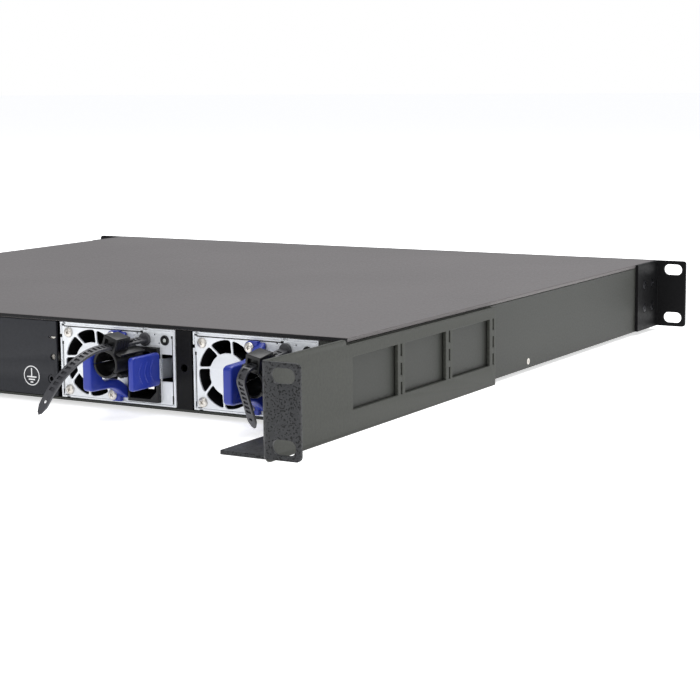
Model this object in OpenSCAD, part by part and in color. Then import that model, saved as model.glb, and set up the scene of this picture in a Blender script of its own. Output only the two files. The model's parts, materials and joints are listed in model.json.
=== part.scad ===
// One-rack-unit Ethernet switch with two hot-swap power supplies, three fan modules,
// slotted front ears and sliding rear support brackets.
// X runs to the right seen from the front, Y from the front ears to the rear, Z up.
// The origin is the centre of the four front ear slots, on the plane that meets the rack rail.
// Heights named z are measured up from the underside of the chassis.

/* [Chassis] */
// Width of the chassis between its ears
body_w = 440; // [438:0.5:441]
// Depth from the ear plane to the rear panel
body_d = 405; // [400:1:440]
// Height of the chassis, one rack unit less its clearance
body_h = 43.6; // [43.4:0.1:43.8]
// Thickness of the chassis sheet
sheet = 1.2; // [1:0.1:1.2]

/* [Rack mounting] */
// Distance between the left and right slot centres
rack_w = 465.1; // [464:0.1:466]
// Distance between the upper and lower slot centres
rack_h = 31.75; // [31:0.05:32.5]
// Overall width over the ears
ears_w = 482.6; // [481:0.1:484]
// Length of a mounting slot from end to end
slot_len = 12.5; // [10:0.5:12.5]
// Width of a mounting slot
slot_w = 7; // [6:0.5:7]
// Thickness of the front ears
ear_t = 2; // [1.5:0.1:2]
// How far the rear flanges stand behind the chassis
bracket_reach = 77.7; // [60:0.1:90]
// Length of a rear bracket that lies beside the chassis
bracket_lap = 156.5; // [150:0.5:160]

/* [Network ports] */
// Columns in one stacked jack block
jack_cols = 6; // [4:1:6]
// Distance between jack columns
jack_pitch = 14; // [14:0.1:14.2]
// Distance between pluggable transceiver ports
sfp_pitch = 14.6; // [14.6:0.1:15]
// Transceiver ports in the row
sfp_cols = 4; // [2:1:4]

/* [Power supplies] */
// Width of a power supply
supply_w = 72.8; // [72.4:0.1:72.9]
// Height of a power supply
supply_h = 39.4; // [39:0.1:39.4]
// Depth of a power supply
supply_d = 185; // [180:1:186]
// How far the blue handle stands out
handle_reach = 31; // [28:0.5:33]
// Full length of a cord strap
strap_len = 87; // [85:1:95]
// Inner radius of the cord clamp
clamp_r = 6; // [5:0.1:6]

/* [Fan modules] */
// Number of fan modules
fan_count = 3; // [3:1:3]
// Width of a fan module
module_w = 54.2; // [52:0.1:54.2]

/* [Hidden] */
$fn = 48;
eps = 0.01;

// Colours of the real finishes
paint_black = [0.10, 0.10, 0.11];
paint_grey = [0.24, 0.24, 0.25];
zinc = [0.80, 0.82, 0.84];
steel = [0.68, 0.69, 0.70];
blue = [0.20, 0.25, 0.66];
nylon_black = [0.06, 0.06, 0.065];
board_green = [0.07, 0.30, 0.16];
gold = [0.85, 0.68, 0.32];
alloy = [0.72, 0.73, 0.75];
clear_lens = [0.86, 0.90, 0.88];

// Levels inside the chassis
half_w = body_w / 2;
lip_z = body_h - 2.2;
wall_top = lip_z - 0.2;
board_z = 7.2;
board_t = 1.6;
port_z = board_z + board_t;
panel_t = 2;

// Front ports
jack_wall = 1.9;
jack_hole_h = 10;
jack_rib = 1.7;
jack_block_w = jack_cols * jack_pitch + jack_wall;
jack_block_h = 2 * jack_hole_h + 3 * jack_rib;
jack_depth = 20;
jack_x = [-198, -104];
sfp_wall = 0.8;
sfp_hole_h = 9.2;
sfp_w = sfp_cols * sfp_pitch + sfp_wall;
sfp_depth = 46;
sfp_x = 6;
seam = 0.06;
light_x = 76;
light_z = [12, 18, 24, 30];
button_x = 86;
button_z = 12;
button_r = 1.4;

// Power supply frame: u grows to the right seen from behind, v out of the face, z up
supply_edge = [-47.25, -131.2];
supply_face = body_d + 0.4;
supply_z = 1.8;
case_t = 0.8;
face_back = -1.2;
face_front = -0.2;
fan_u = 20.3;
fan_z = 20.9;
fan_half = 18;
fan_bore = 17.2;
fan_back = -29.4;
screw_pitch = 15;
handle_u = [38.2, 43.4];
foot_t = 3;
foot_r = 3.2;
inlet_u = [44.2, 63.2];
inlet_z = [3.5, 31.5];
inlet_proud = 2;
latch_pivot_v = -60;
latch_u = 70;
tab_u = [62.9, 66.1];
tab_v = [3.4, 26.4];
tab_z = [13.2, 30];
anchor_u = 54.5;
anchor_z = 35.6;
led_u = 66.6;
strap_w = 4.8;
strap_t = 1.4;
clamp_wall = 1.3;
clamp_drop = 9.3;
clamp_len = 22;

// How each strap lies: roll about its axis, droop, straight run, bend radius, bend angle
strap_roll = [18, 12];
strap_droop = [0, 8];
strap_start = 0.4;
// Length cut off each tail
strap_trim = [0, 14];
strap_run = [36, 32];
strap_bend_r = [38, 5];
strap_bend = [64, 118];
bend_steps = 16;
// Where each clamp sits on the straight run
clamp_v = [7.5, 6];

// Fan modules
module_x0 = half_w - 3.8 - fan_count * (module_w + 0.6) + 0.6;
module_fan_half = 19.2;

// ---------------------------------------------------------------- helpers

// A block given by its ranges along X, Y and Z
module slab(x, y, z) {
    translate([x[0], y[0], z[0] - body_h / 2])
        cube([x[1] - x[0], y[1] - y[0], z[1] - z[0]]);
}

// A cylinder along Y
module rod_y(x, z, y, r) {
    translate([x, y[0], z - body_h / 2])
        rotate([-90, 0, 0])
            cylinder(h = y[1] - y[0], r = r);
}

// A cylinder along Z
module rod_z(x, y, z, r) {
    translate([x, y, z[0] - body_h / 2])
        cylinder(h = z[1] - z[0], r = r);
}

// A cylinder along X
module rod_x(y, z, x, r) {
    translate([x[0], y, z - body_h / 2])
        rotate([0, 90, 0])
            cylinder(h = x[1] - x[0], r = r);
}

// A flat outline in X and Z, given a thickness along Y
module sheet_xz(y) {
    translate([0, y[1], -body_h / 2])
        rotate([90, 0, 0])
            linear_extrude(y[1] - y[0])
                children();
}

// A flat outline in Y and Z, given a thickness along X
module sheet_yz(x) {
    translate([x[0], 0, -body_h / 2])
        rotate([90, 0, 90])
            linear_extrude(x[1] - x[0])
                children();
}

// A rectangle with round corners, by its ranges
module round_rect(x, z, r) {
    translate([x[0] + r, z[0]])
        square([x[1] - x[0] - 2 * r, z[1] - z[0]]);
    translate([x[0], z[0] + r])
        square([x[1] - x[0], z[1] - z[0] - 2 * r]);
    for (cx = [x[0] + r, x[1] - r], cz = [z[0] + r, z[1] - r])
        translate([cx, cz])
            circle(r);
}

// A level slot with round ends, cut through along Y
module slot_y(x, z, y, length, width) {
    run = (length - width) / 2;
    for (side = [-1, 1])
        rod_y(x + side * run, z, y, width / 2);
    slab([x - run, x + run], y, [z - width / 2, z + width / 2]);
}

// Mirrors its children to the right-hand side when side is 1
module on_side(side) {
    flip = side < 0 ? 0 : 1;
    mirror([flip, 0, 0])
        children();
}

// The frame of power supply k
module supply(k) {
    translate([supply_edge[k], supply_face, 0])
        mirror([1, 0, 0])
            children();
}

// The frame of fan module k, from its left edge seen from the front
module fan_bay(k) {
    translate([module_x0 + k * (module_w + 0.6), body_d, 0])
        children();
}

// ---------------------------------------------------------------- chassis

// The windows that the front ports look through
module port_windows(y) {
    for (x = jack_x)
        slab([x - 0.2, x + jack_block_w + 0.2], y, [port_z - 0.2, port_z + jack_block_h + 0.2]);
    slab([sfp_x - 0.2, sfp_x + sfp_w + 0.2], y, [port_z - 0.2, port_z + sfp_hole_h + 2 * sfp_wall + 0.4]);
    for (z = light_z)
        rod_y(light_x, z, y, 1.3);
    rod_y(button_x, button_z, y, button_r + 0.1);
    slab([light_x + 6, light_x + 14], y, [20, 23.2]);
    for (i = [0 : 15], row = [0, 1])
        slab([106 + i * 6.6, 108.4 + i * 6.6], y, [8 + row * 15, 20 + row * 15]);
}

// Floor, sides, and the front and rear returns, folded from one sheet
module chassis_tray() {
    color(paint_black)
    difference() {
        union() {
            slab([-half_w, half_w], [0, body_d], [0, sheet]);
            for (side = [-1, 1])
                on_side(side) {
                    slab([-half_w, sheet - half_w], [0, body_d], [0, wall_top]);
                    slab([-half_w, -half_w + 12], [0, sheet], [0, wall_top]);
                }
            slab([-half_w, -half_w + 15.6], [body_d - sheet, body_d], [0, wall_top]);
            slab([half_w - 3.4, half_w], [body_d - sheet, body_d], [0, wall_top]);
        }
        for (side = [-1, 1], y = [200, body_d - 18])
            on_side(side)
                rod_x(y, 3.7, [-half_w - 1, -half_w + sheet + 1], 1.9);
        for (side = [-1, 1], y = [9, 22.6], z = [14.5, 29.5])
            on_side(side)
                rod_x(y, z, [-half_w - 1, -half_w + sheet + 1], 1.6);
    }
}

// Sheet-metal cage that guides the two power supplies
module psu_cage() {
    front = body_d - supply_d + 4;
    inner = supply_edge[0] + 0.85;
    gap = supply_edge[0] - supply_w;
    color(zinc)
    difference() {
        union() {
            slab([-half_w + sheet, inner + 1], [front, body_d - sheet - 0.2], [wall_top + 0.5, lip_z + 0.8]);
            slab([inner, inner + 1], [front, body_d - sheet - 0.2], [sheet, wall_top + 0.5]);
            slab([gap - 1.35, gap - 0.35], [front, body_d - sheet], [sheet, wall_top + 0.5]);
            slab([gap - 9.75, gap - 8.75], [front, body_d - sheet], [sheet, wall_top + 0.5]);
            slab([gap - 9.75, gap - 0.35], [body_d - sheet, body_d], [sheet, wall_top]);
            slab([-half_w + 14.6, -half_w + 15.6], [front, body_d - sheet], [sheet, wall_top + 0.5]);
        }
        rod_y(gap - 5.1, 22.3, [body_d - sheet - 1, body_d + 1], 2);
    }
}

// Flat lid with a shallow lip down both sides and the rear
module top_cover() {
    color(paint_grey)
    union() {
        slab([-half_w, half_w], [0, body_d], [body_h - sheet, body_h]);
        slab([-half_w, half_w], [body_d - sheet, body_d], [lip_z, body_h]);
        for (side = [-1, 1])
            on_side(side)
                slab([-half_w, sheet - half_w], [0, body_d], [lip_z, body_h]);
    }
}

// Flush screws low on both sides
module side_screws() {
    color(steel)
    for (side = [-1, 1], y = [200, body_d - 18])
        on_side(side) {
            rod_x(y, 3.7, [-half_w, -half_w + 0.9], 1.88);
            rod_x(y, 3.7, [-half_w + 0.9, -half_w + 6], 1.2);
        }
}

// Front bezel plate
module front_panel() {
    color(paint_black)
    difference() {
        slab([-half_w, half_w], [-panel_t, 0], [0, body_h]);
        port_windows([-panel_t - 1, 1]);
    }
}

// Angled ear with two rack slots
module front_ear() {
    flange_x = ears_w / 2;
    color(paint_black)
    difference() {
        union() {
            slab([-half_w - ear_t, -half_w], [-panel_t, 35], [0.1, body_h - 0.1]);
            sheet_xz([-ear_t, 0])
                round_rect([-flange_x, -half_w], [0.1, body_h - 0.1], 2);
            slab([-half_w - ear_t - 1, -half_w], [-ear_t, 0], [0.1, body_h - 0.1]);
        }
        for (side = [-1, 1])
            slot_y(-rack_w / 2, body_h / 2 + side * rack_h / 2, [-ear_t - 1, 1], slot_len, slot_w);
        for (y = [9, 22.6], z = [14.5, 29.5]) {
            rod_x(y, z, [-half_w - ear_t - 1, -half_w - ear_t + 1], 3);
            rod_x(y, z, [-half_w - ear_t - 1, -half_w + 1], 1.6);
        }
    }
}

module front_ear_left() {
    on_side(-1)
        front_ear();
}

module front_ear_right() {
    on_side(1)
        front_ear();
}

// Flat-headed screws that hold the ears
module ear_screws() {
    color(steel)
    for (side = [-1, 1], y = [9, 22.6], z = [14.5, 29.5])
        on_side(side) {
            rod_x(y, z, [-half_w - ear_t, -half_w - ear_t + 0.95], 2.9);
            rod_x(y, z, [-half_w - ear_t + 0.95, -half_w + 3], 1.5);
        }
}

// Blank rear plate with the ground hole and its bonded nut
module rear_plate() {
    left = supply_edge[0] + 3.25;
    right = module_x0 - 0.6;
    color(paint_grey)
    difference() {
        union() {
            slab([left, right], [body_d - 1.6, body_d], [sheet + 0.2, wall_top]);
            rod_y(left + 2.8, 22.1, [body_d - 5.6, body_d - 1.6], 2.7);
        }
        rod_y(left + 2.8, 22.1, [body_d - 7, body_d + 1], 1.65);
        difference() {
            rod_y(left + 3, 34.9, [body_d - 0.8, body_d + 1], 3.6);
            slab([left - 2, left + 8], [body_d - 2, body_d + 2], [33.2, 40]);
        }
        for (x = [left + 4.3, right - 4.3])
            rod_y(x, 10.4, [body_d - 2, body_d + 1], 2.25);
    }
}

// Recessed socket screws of the rear plate
module plate_screws() {
    left = supply_edge[0] + 3.25;
    right = module_x0 - 0.6;
    color(steel)
    for (x = [left + 4.3, right - 4.3])
        difference() {
            rod_y(x, 10.4, [body_d - 5, body_d - 0.4], 2.2);
            rod_y(x, 10.4, [body_d - 2, body_d], 1.1);
        }
}

// ---------------------------------------------------------------- boards and cooling

board_holes = [
    [-205, 30], [-60, 90], [60, 90], [205, 30], [-205, 190], [-30, 190], [-30, 350],
    [90, 350], [205, 350], [205, 190]
];

// Switch board with its main chips
module main_board() {
    top = [port_z, port_z + 3];
    color(board_green)
    difference() {
        union() {
            slab([-half_w + 6, half_w - 6], [3, 204], [board_z, port_z]);
            slab([-40, half_w - 6], [200, 360], [board_z, port_z]);
            slab([30, 75], [110, 155], top);
            slab([110, 140], [120, 150], top);
            for (x = jack_x, i = [0, 1])
                slab([x + 12 + i * 38, x + 36 + i * 38], [40, 64], top);
            for (i = [0 : 3])
                slab([-20 + i * 16, -10 + i * 16], [230, 262], top);
        }
        for (p = board_holes)
            rod_z(p[0], p[1], [board_z - 1, port_z + 1], 1.6);
    }
}

// Spacers with their screws
module standoffs() {
    color(gold)
    for (p = board_holes) {
        rod_z(p[0], p[1], [sheet, board_z], 2.6);
        rod_z(p[0], p[1], [board_z - eps, port_z], 1.5);
        rod_z(p[0], p[1], [port_z, port_z + 1.8], 2.7);
    }
}

// A finned block on top of a chip
module finned_block(x, y, z, fins) {
    fin = 1;
    step = (x[1] - x[0] - fin) / (fins - 1);
    slab(x, y, [z[0], z[0] + 2.4]);
    for (i = [0 : fins - 1])
        slab([x[0] + i * step, x[0] + i * step + fin], y, [z[0] + 2, z[1]]);
}

module switch_heatsink() {
    color(alloy)
        finned_block([16, 89], [96, 169], [port_z + 3, 36], 15);
}

module phy_heatsinks() {
    color(alloy)
    for (x = jack_x)
        finned_block([x + 9, x + 77], [37, 67], [port_z + 3, 24], 12);
}

// Upright board that the power supplies plug into
module power_board() {
    y = supply_face - supply_d - 14;
    color(board_green)
        slab([-half_w + 4, supply_edge[0] + 3], [y, y + board_t], [2, 40]);
    color(nylon_black)
    for (k = [0, 1])
        difference() {
            slab([supply_edge[k] - 62, supply_edge[k] - 8], [y + board_t, y + 11], [4, 11.6]);
            slab([supply_edge[k] - 61, supply_edge[k] - 9], [y + 3, y + 12], [6.6, 9]);
        }
}

// ---------------------------------------------------------------- front ports

// Stacked jacks: upright ribs, level ribs between them and a rear block, a hairline apart
module jack_block(x0) {
    y = [-1.4, jack_depth];
    top = port_z + jack_block_h;
    mouth = [y[0], jack_depth - 6];
    color(nylon_black) {
        for (i = [0 : jack_cols])
            slab([x0 + i * jack_pitch, x0 + i * jack_pitch + jack_wall], mouth, [port_z, top]);
        for (i = [0 : jack_cols - 1], row = [0 : 2])
            slab(
                [x0 + i * jack_pitch + jack_wall + seam, x0 + (i + 1) * jack_pitch - seam],
                mouth,
                [port_z + row * (jack_hole_h + jack_rib), port_z + row * (jack_hole_h + jack_rib) + jack_rib]
            );
        slab([x0, x0 + jack_block_w], [mouth[1] + seam, y[1]], [port_z, top]);
    }
}

module jack_block_left() {
    jack_block(jack_x[0]);
}

module jack_block_right() {
    jack_block(jack_x[1]);
}

// Row of pluggable transceiver cages
module sfp_cage() {
    mouth = [-1.6, sfp_depth];
    low = port_z + sfp_wall;
    color(steel) {
        for (i = [0 : sfp_cols])
            slab([sfp_x + i * sfp_pitch, sfp_x + i * sfp_pitch + sfp_wall], mouth, [low, low + sfp_hole_h]);
        slab([sfp_x, sfp_x + sfp_w], mouth, [port_z, low - seam]);
        slab([sfp_x, sfp_x + sfp_w], mouth, [low + sfp_hole_h + seam, low + sfp_hole_h + sfp_wall]);
        slab([sfp_x, sfp_x + sfp_w], [sfp_depth + seam, sfp_depth + 4], [port_z, low + sfp_hole_h]);
    }
}

// Clear bar with one peg for each status light
module light_pipe() {
    color(clear_lens)
    union() {
        slab([light_x - 1.6, light_x + 1.6], [4, 7], [light_z[0] - 2, light_z[3] + 2]);
        for (z = light_z)
            rod_y(light_x, z, [-panel_t - 0.2, 5], 1.2);
    }
}

// Reset button with the collar that keeps it behind the panel
module reset_button() {
    color(nylon_black)
    union() {
        rod_y(button_x, button_z, [-panel_t - 1, 8], button_r);
        rod_y(button_x, button_z, [1.2, 2.4], 2.4);
    }
}

// ---------------------------------------------------------------- rear brackets

// Long channel that carries the rear of the chassis, with its rack flange and snap-off windows
module rear_bracket() {
    t = 2;
    bend_r = 4;
    inner = -half_w - 0.4;
    outer = inner - t;
    front = body_d - bracket_lap;
    back = body_d + bracket_reach;
    top = 40.6;
    win_z = [9.2, 34.6];
    color(paint_grey)
    difference() {
        union() {
            slab([outer, inner], [front, body_d + 20], [-2.4, top]);
            sheet_yz([outer, inner])
                translate([body_d + 5, 0])
                    round_rect([0, bracket_reach - 5 - bend_r], [-2.4, body_h], 2);
            slab([outer, inner], [back - bend_r - 3, back - bend_r], [0, body_h]);
            intersection() {
                slab([inner - bend_r, inner], [back - bend_r, back], [0, body_h]);
                difference() {
                    rod_z(inner - bend_r, back - bend_r, [-1, body_h + 1], bend_r);
                    rod_z(inner - bend_r, back - bend_r, [-2, body_h + 2], bend_r - t);
                }
            }
            slab([inner - bend_r - 3, inner - bend_r], [back - t, back], [0, body_h]);
            sheet_xz([back - t, back])
                round_rect([-ears_w / 2, inner - bend_r], [0, body_h], 2);
            slab([outer, inner + 28], [front, back - 9], [-2.4, -0.4]);
        }
        for (i = [0 : 2])
            slab(
                [outer - 1, inner + 1],
                [front + 7.3 + i * 52, front + 51.8 + i * 52],
                win_z
            );
        for (i = [0 : 2], j = [0 : 2])
            slab(
                [outer - 1, inner + 1],
                [front + 2 + i * 52.4, front + 3.6 + i * 52.4],
                [win_z[0] + j * 9.6, win_z[0] + 6.2 + j * 9.6]
            );
        for (side = [-1, 1])
            slot_y(-rack_w / 2, body_h / 2 + side * rack_h / 2, [back - t - 1, back + 1], slot_len, slot_w);
    }
}

module rear_bracket_left() {
    on_side(-1)
        rear_bracket();
}

module rear_bracket_right() {
    on_side(1)
        rear_bracket();
}

// ---------------------------------------------------------------- fans

// Hub, arms and motor boss inside a fan frame, with the bore that the rotor turns in
module fan_stator(x, z, back, bore) {
    difference() {
        union() {
            rod_y(x, z, [back, back + 3], 9.5);
            rod_y(x, z, [back + 2, back + 20], 7.6);
            for (a = [45 : 90 : 315])
                translate([x, back, z - body_h / 2])
                    rotate([0, a, 0])
                        translate([8, 0, -1])
                            cube([bore - 7, 2.4, 2]);
        }
        rod_y(x, z, [back + 4, back + 21], 1.55);
    }
}

// Cup, blades and shaft of a rotor
module rotor(x, z, back, bore) {
    y = [back + 5, back + 25.6];
    difference() {
        rod_y(x, z, y, 10);
        rod_y(x, z, [y[0] - 1, y[1] - 1.6], 8.2);
    }
    rod_y(x, z, [back + 6, y[1] - 1], 1.5);
    intersection() {
        for (a = [0 : 360 / 7 : 359])
            translate([x, (y[0] + y[1]) / 2, z - body_h / 2])
                rotate([0, a, 0])
                    translate([9, 0, 0])
                        rotate([40, 0, 0])
                            translate([0, -9.5, -0.5])
                                cube([9, 19, 1]);
        difference() {
            rod_y(x, z, [y[0], y[1]], bore - 0.6);
            rod_y(x, z, [y[0] - 1, y[1] + 1], 9.2);
        }
    }
}

// Ring of openings with tilted spokes and a hub plate, drawn flat in X and Z
module grille(r, hub, spokes) {
    difference() {
        circle(r);
        circle(hub);
        for (i = [0 : spokes - 1])
            rotate(i * 360 / spokes + 33.5)
                translate([0, -0.7])
                    square([r + 1, 1.4]);
    }
}

// Hot-swap fan module: rear plate with grille and pull tab, and the fan's own frame
module fan_module(k) {
    cx = 23.4;
    cz = 21.4;
    back = -30.6;
    fan_bay(k)
    color(paint_grey) {
        difference() {
            sheet_xz([-1.6, 0])
                difference() {
                    translate([0, supply_z])
                        square([module_w, supply_h]);
                    translate([cx, cz])
                        grille(17.8, 10.9, 8);
                }
            for (z = [6.4, 36.4], x = [6, 41])
                rod_y(x, z, [-2, -0.6], 2.2);
        }
        difference() {
            slab([cx - module_fan_half, cx + module_fan_half], [back, -1.6], [cz - 19.2, cz + 19.2]);
            rod_y(cx, cz, [back - 1, 0], 17.8);
        }
        fan_stator(cx, cz, back, 17.8);
        sheet_yz([module_w - 6, module_w - 4.4])
            round_rect([-1, 14], [13.5, 29.5], 3);
        slab([module_w - 9, module_w - 2], [-30, -1.6], [6, 36]);
    }
}

module fan_rotor(k) {
    fan_bay(k)
        color(nylon_black)
            rotor(23.4, 21.4, -30.6, 17.8);
}

module fan_module_1() { fan_module(0); }
module fan_module_2() { fan_module(1); }
module fan_module_3() { fan_module(2); }
module fan_rotor_1() { fan_rotor(0); }
module fan_rotor_2() { fan_rotor(1); }
module fan_rotor_3() { fan_rotor(2); }

// ---------------------------------------------------------------- power supply

supply_top = supply_z + supply_h;

// Folded case, open at the rear, with a slot for the card edge in its front wall
module supply_case(k) {
    supply(k)
    color(zinc)
    difference() {
        slab([0, supply_w], [-supply_d, 0], [supply_z, supply_top]);
        slab([case_t, supply_w - case_t], [-supply_d + case_t, 1], [supply_z + case_t, supply_top - case_t]);
        slab([8, 62], [-supply_d - 1, -supply_d + 2], [5.6, 10]);
        for (i = [0 : 9], j = [0 : 3])
            rod_y(7 + i * 6.5, 15.5 + j * 6.4, [-supply_d - 1, -supply_d + 2], 2.2);
        slab([supply_w - 2, supply_w + 1], [-28, -19], [17, 26]);
        slab([-1, case_t], [-1.6, 1], [33, 34.8]);
        slab([1.6, 3.6], [-1.4, 1], [supply_top - 1, supply_top + 1]);
        slab([53, 56], [-1.4, 1], [supply_top - 1, supply_top + 1]);
        slab([3.2, 5.4], [-1.4, 1], [supply_z - 1, supply_z + case_t]);
    }
}

// Rear face with the fan grille and the cut-outs for what comes through it
module supply_faceplate(k) {
    side = case_t + 0.1;
    supply(k)
    color(zinc)
    sheet_xz([face_back, face_front])
    difference() {
        translate([side, supply_z + side])
            square([supply_w - 2 * side, supply_h - 2 * side]);
        translate([fan_u, fan_z])
            grille(17, 10.9, 8);
        for (u = [-1, 1], z = [-1, 1])
            translate([fan_u + u * screw_pitch, fan_z + z * screw_pitch])
                circle(1.6);
        translate([inlet_u[0] - 0.1, inlet_z[0] - 0.1])
            square([inlet_u[1] - inlet_u[0] + 0.2, inlet_z[1] - inlet_z[0] + 0.2]);
        translate([anchor_u, anchor_z])
            circle(2.3);
        translate([led_u, anchor_z])
            circle(2.4);
        translate([64.1, 14.6])
            square([6.7, 13.8]);
    }
}

// Pan-head screws: two on the plate and two through the feet of the handle
module supply_screws(k) {
    supply(k)
    color(steel)
    for (u = [-1, 1], z = [-1, 1]) {
        seat = u < 0 ? face_front : foot_t + face_front;
        rod_y(fan_u + u * screw_pitch, fan_z + z * screw_pitch, [seat, seat + 1.4], 2.65);
        rod_y(fan_u + u * screw_pitch, fan_z + z * screw_pitch, [-7, seat + eps], 1.45);
    }
}

// Outline of the handle seen from the side, in v and z from its middle
module handle_outline() {
    offset(1.8)
    offset(-3.6)
    offset(1.8)
    polygon([
        [face_front, -17.6], [3, -15.6], [9.5, -11.2], [14, -10], [handle_reach - 2, -9.6],
        [handle_reach, -8.4], [handle_reach, 8.4], [handle_reach - 2, 9.6], [14, 10],
        [9.5, 11.2], [3, 15.6], [face_front, 17.6]
    ]);
}

// Blue pull handle with two screwed feet
module supply_handle(k) {
    middle = supply_z + supply_h / 2;
    supply(k)
    color(blue)
    difference() {
        union() {
            sheet_yz(handle_u)
                translate([0, middle])
                    difference() {
                        intersection() {
                            handle_outline();
                            translate([face_front, -20])
                                square([40, 40]);
                        }
                        polygon([
                            [-2, -12.2], [2, -9.6], [7, -6.4], [12, -5.4], [19, -5.2],
                            [21, -3.6], [21, 3.6], [19, 5.2], [12, 5.4], [7, 6.4],
                            [2, 9.6], [-2, 12.2]
                        ]);
                    }
            for (z = [-1, 1]) {
                rod_y(fan_u + screw_pitch, fan_z + z * screw_pitch, [face_front, foot_t + face_front], foot_r);
                slab(
                    [fan_u + screw_pitch, handle_u[0] + 1],
                    [face_front, foot_t + face_front],
                    [fan_z + z * screw_pitch - foot_r, fan_z + z * screw_pitch + foot_r]
                );
            }
        }
        for (z = [-1, 1])
            rod_y(fan_u + screw_pitch, fan_z + z * screw_pitch, [-2, 12], 1.6);
    }
}

// Mains inlet set upright, with its two cut corners
module supply_inlet(k) {
    wall = 1.2;
    u = [inlet_u[0] + wall, inlet_u[1] - wall];
    z = [inlet_z[0] + 1.9, inlet_z[1] - 1.9];
    supply(k)
    color(nylon_black)
    difference() {
        slab(inlet_u, [-20, inlet_proud], inlet_z);
        sheet_xz([-17, inlet_proud + 1])
            polygon([
                [u[0], z[0]], [u[1] - 4, z[0]], [u[1], z[0] + 4], [u[1], z[1] - 4],
                [u[1] - 4, z[1]], [u[0], z[1]]
            ]);
    }
}

// Three flat contact blades
module supply_inlet_pins(k) {
    cu = (inlet_u[0] + inlet_u[1]) / 2;
    cz = (inlet_z[0] + inlet_z[1]) / 2;
    supply(k)
    color(alloy) {
        for (z = [-7, 7])
            slab([cu, cu + 4], [-17, -2.5], [cz + z - 1, cz + z + 1]);
        slab([cu - 4, cu], [-17, -1], [cz - 1, cz + 1]);
    }
}

// Round indicator with a flanged holder
module supply_led(k) {
    supply(k)
    color(clear_lens)
    union() {
        rod_y(led_u, anchor_z, [face_front, 0.5], 2.6);
        rod_y(led_u, anchor_z, [-7, face_front + eps], 2.3);
    }
}

module supply_fan_frame(k) {
    supply(k)
    color(nylon_black)
    union() {
        difference() {
            slab([fan_u - fan_half, fan_u + fan_half], [fan_back, face_back], [fan_z - fan_half, fan_z + fan_half]);
            rod_y(fan_u, fan_z, [fan_back - 1, 0], fan_bore);
            for (u = [-1, 1], z = [-1, 1])
                rod_y(fan_u + u * screw_pitch, fan_z + z * screw_pitch, [-8, 0], 1.5);
        }
        fan_stator(fan_u, fan_z, fan_back, fan_bore);
    }
}

module supply_fan_rotor(k) {
    supply(k)
    color(nylon_black)
        rotor(fan_u, fan_z, fan_back, fan_bore);
}

// Leaf spring riveted inside the case, bent inwards where it leaves the face
module supply_latch_spring(k) {
    t = 0.7;
    z = [16.4, 26.6];
    supply(k)
    color(steel)
    union() {
        translate([0, 0, z[0] - body_h / 2])
            linear_extrude(z[1] - z[0])
                polygon([
                    [latch_u - t, latch_pivot_v - 3], [latch_u, latch_pivot_v - 3],
                    [latch_u, -8], [65 + t, 3], [65 + t, 9], [65, 9], [65, 2.8], [latch_u - t, -8.2]
                ]);
        rod_x(latch_pivot_v, 21.5, [latch_u - eps, latch_u + 1.5], 2.4);
        slab([latch_u - eps, latch_u + 1.4], [-27, -21], [18.5, 24.5]);
    }
}

// Blue thumb tab on the end of the spring
module supply_latch_tab(k) {
    r = (tab_u[1] - tab_u[0]) / 2;
    supply(k)
    color(blue)
    difference() {
        union() {
            slab(tab_u, [tab_v[0], tab_v[1] - r], tab_z);
            rod_z(tab_u[0] + r, tab_v[1] - r, tab_z, r);
        }
        slab([65, 65.7], [0, 9], [16.4, 26.6]);
    }
}

// ---------------------------------------------------------------- cord retainers

// The frame of a strap's anchor
module anchor_frame(k) {
    supply(k)
    translate([anchor_u, 0, anchor_z - body_h / 2])
        children();
}

// The frame of a strap: its axis runs out of the anchor, rolled about that axis and drooping
module strap_frame(k) {
    anchor_frame(k)
        rotate([-strap_droop[k], strap_roll[k], 0])
            children();
}

// Points of the bend in v and w, at a given radius, one list entry per step
function bend_points(k, radius) = [
    for (i = [0 : bend_steps])
        let (a = i * strap_bend[k] / bend_steps)
            [strap_run[k] + radius * sin(a), radius * cos(a) - strap_bend_r[k]]
];

// A point of the tail in v and w, from the distance past the bend and the offset across
function tail_point(k, along, across) =
    let (a = strap_bend[k], radius = strap_bend_r[k] + across)
        [
            strap_run[k] + radius * sin(a) + along * cos(a),
            radius * cos(a) - strap_bend_r[k] - along * sin(a)
        ];

// Outline of the bent strap, from its run, bend and tapered tail
module strap_outline(k) {
    t = strap_t / 2;
    tail = strap_len - strap_trim[k] - strap_run[k] - PI * strap_bend_r[k] * strap_bend[k] / 180;
    inner = bend_points(k, strap_bend_r[k] - t);
    polygon(concat(
        [[strap_start, -t], [strap_start, t]],
        bend_points(k, strap_bend_r[k] + t),
        [
            tail_point(k, tail - 6, t), tail_point(k, tail, 0.3),
            tail_point(k, tail, -0.3), tail_point(k, tail - 6, -t)
        ],
        [for (i = [bend_steps : -1 : 0]) inner[i]]
    ));
}

// Toothed nylon strap held by a push-in foot
module supply_strap(k) {
    color(nylon_black) {
        strap_frame(k)
        translate([-strap_w / 2, 0, 0])
            rotate([90, 0, 90])
                linear_extrude(strap_w)
                    strap_outline(k);
        anchor_frame(k)
        rotate([-90, 0, 0]) {
            translate([0, 0, face_front])
                cylinder(h = 1.8, r = 3.4);
            translate([0, 0, -5])
                cylinder(h = 5, r = 2.2);
        }
    }
}

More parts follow.
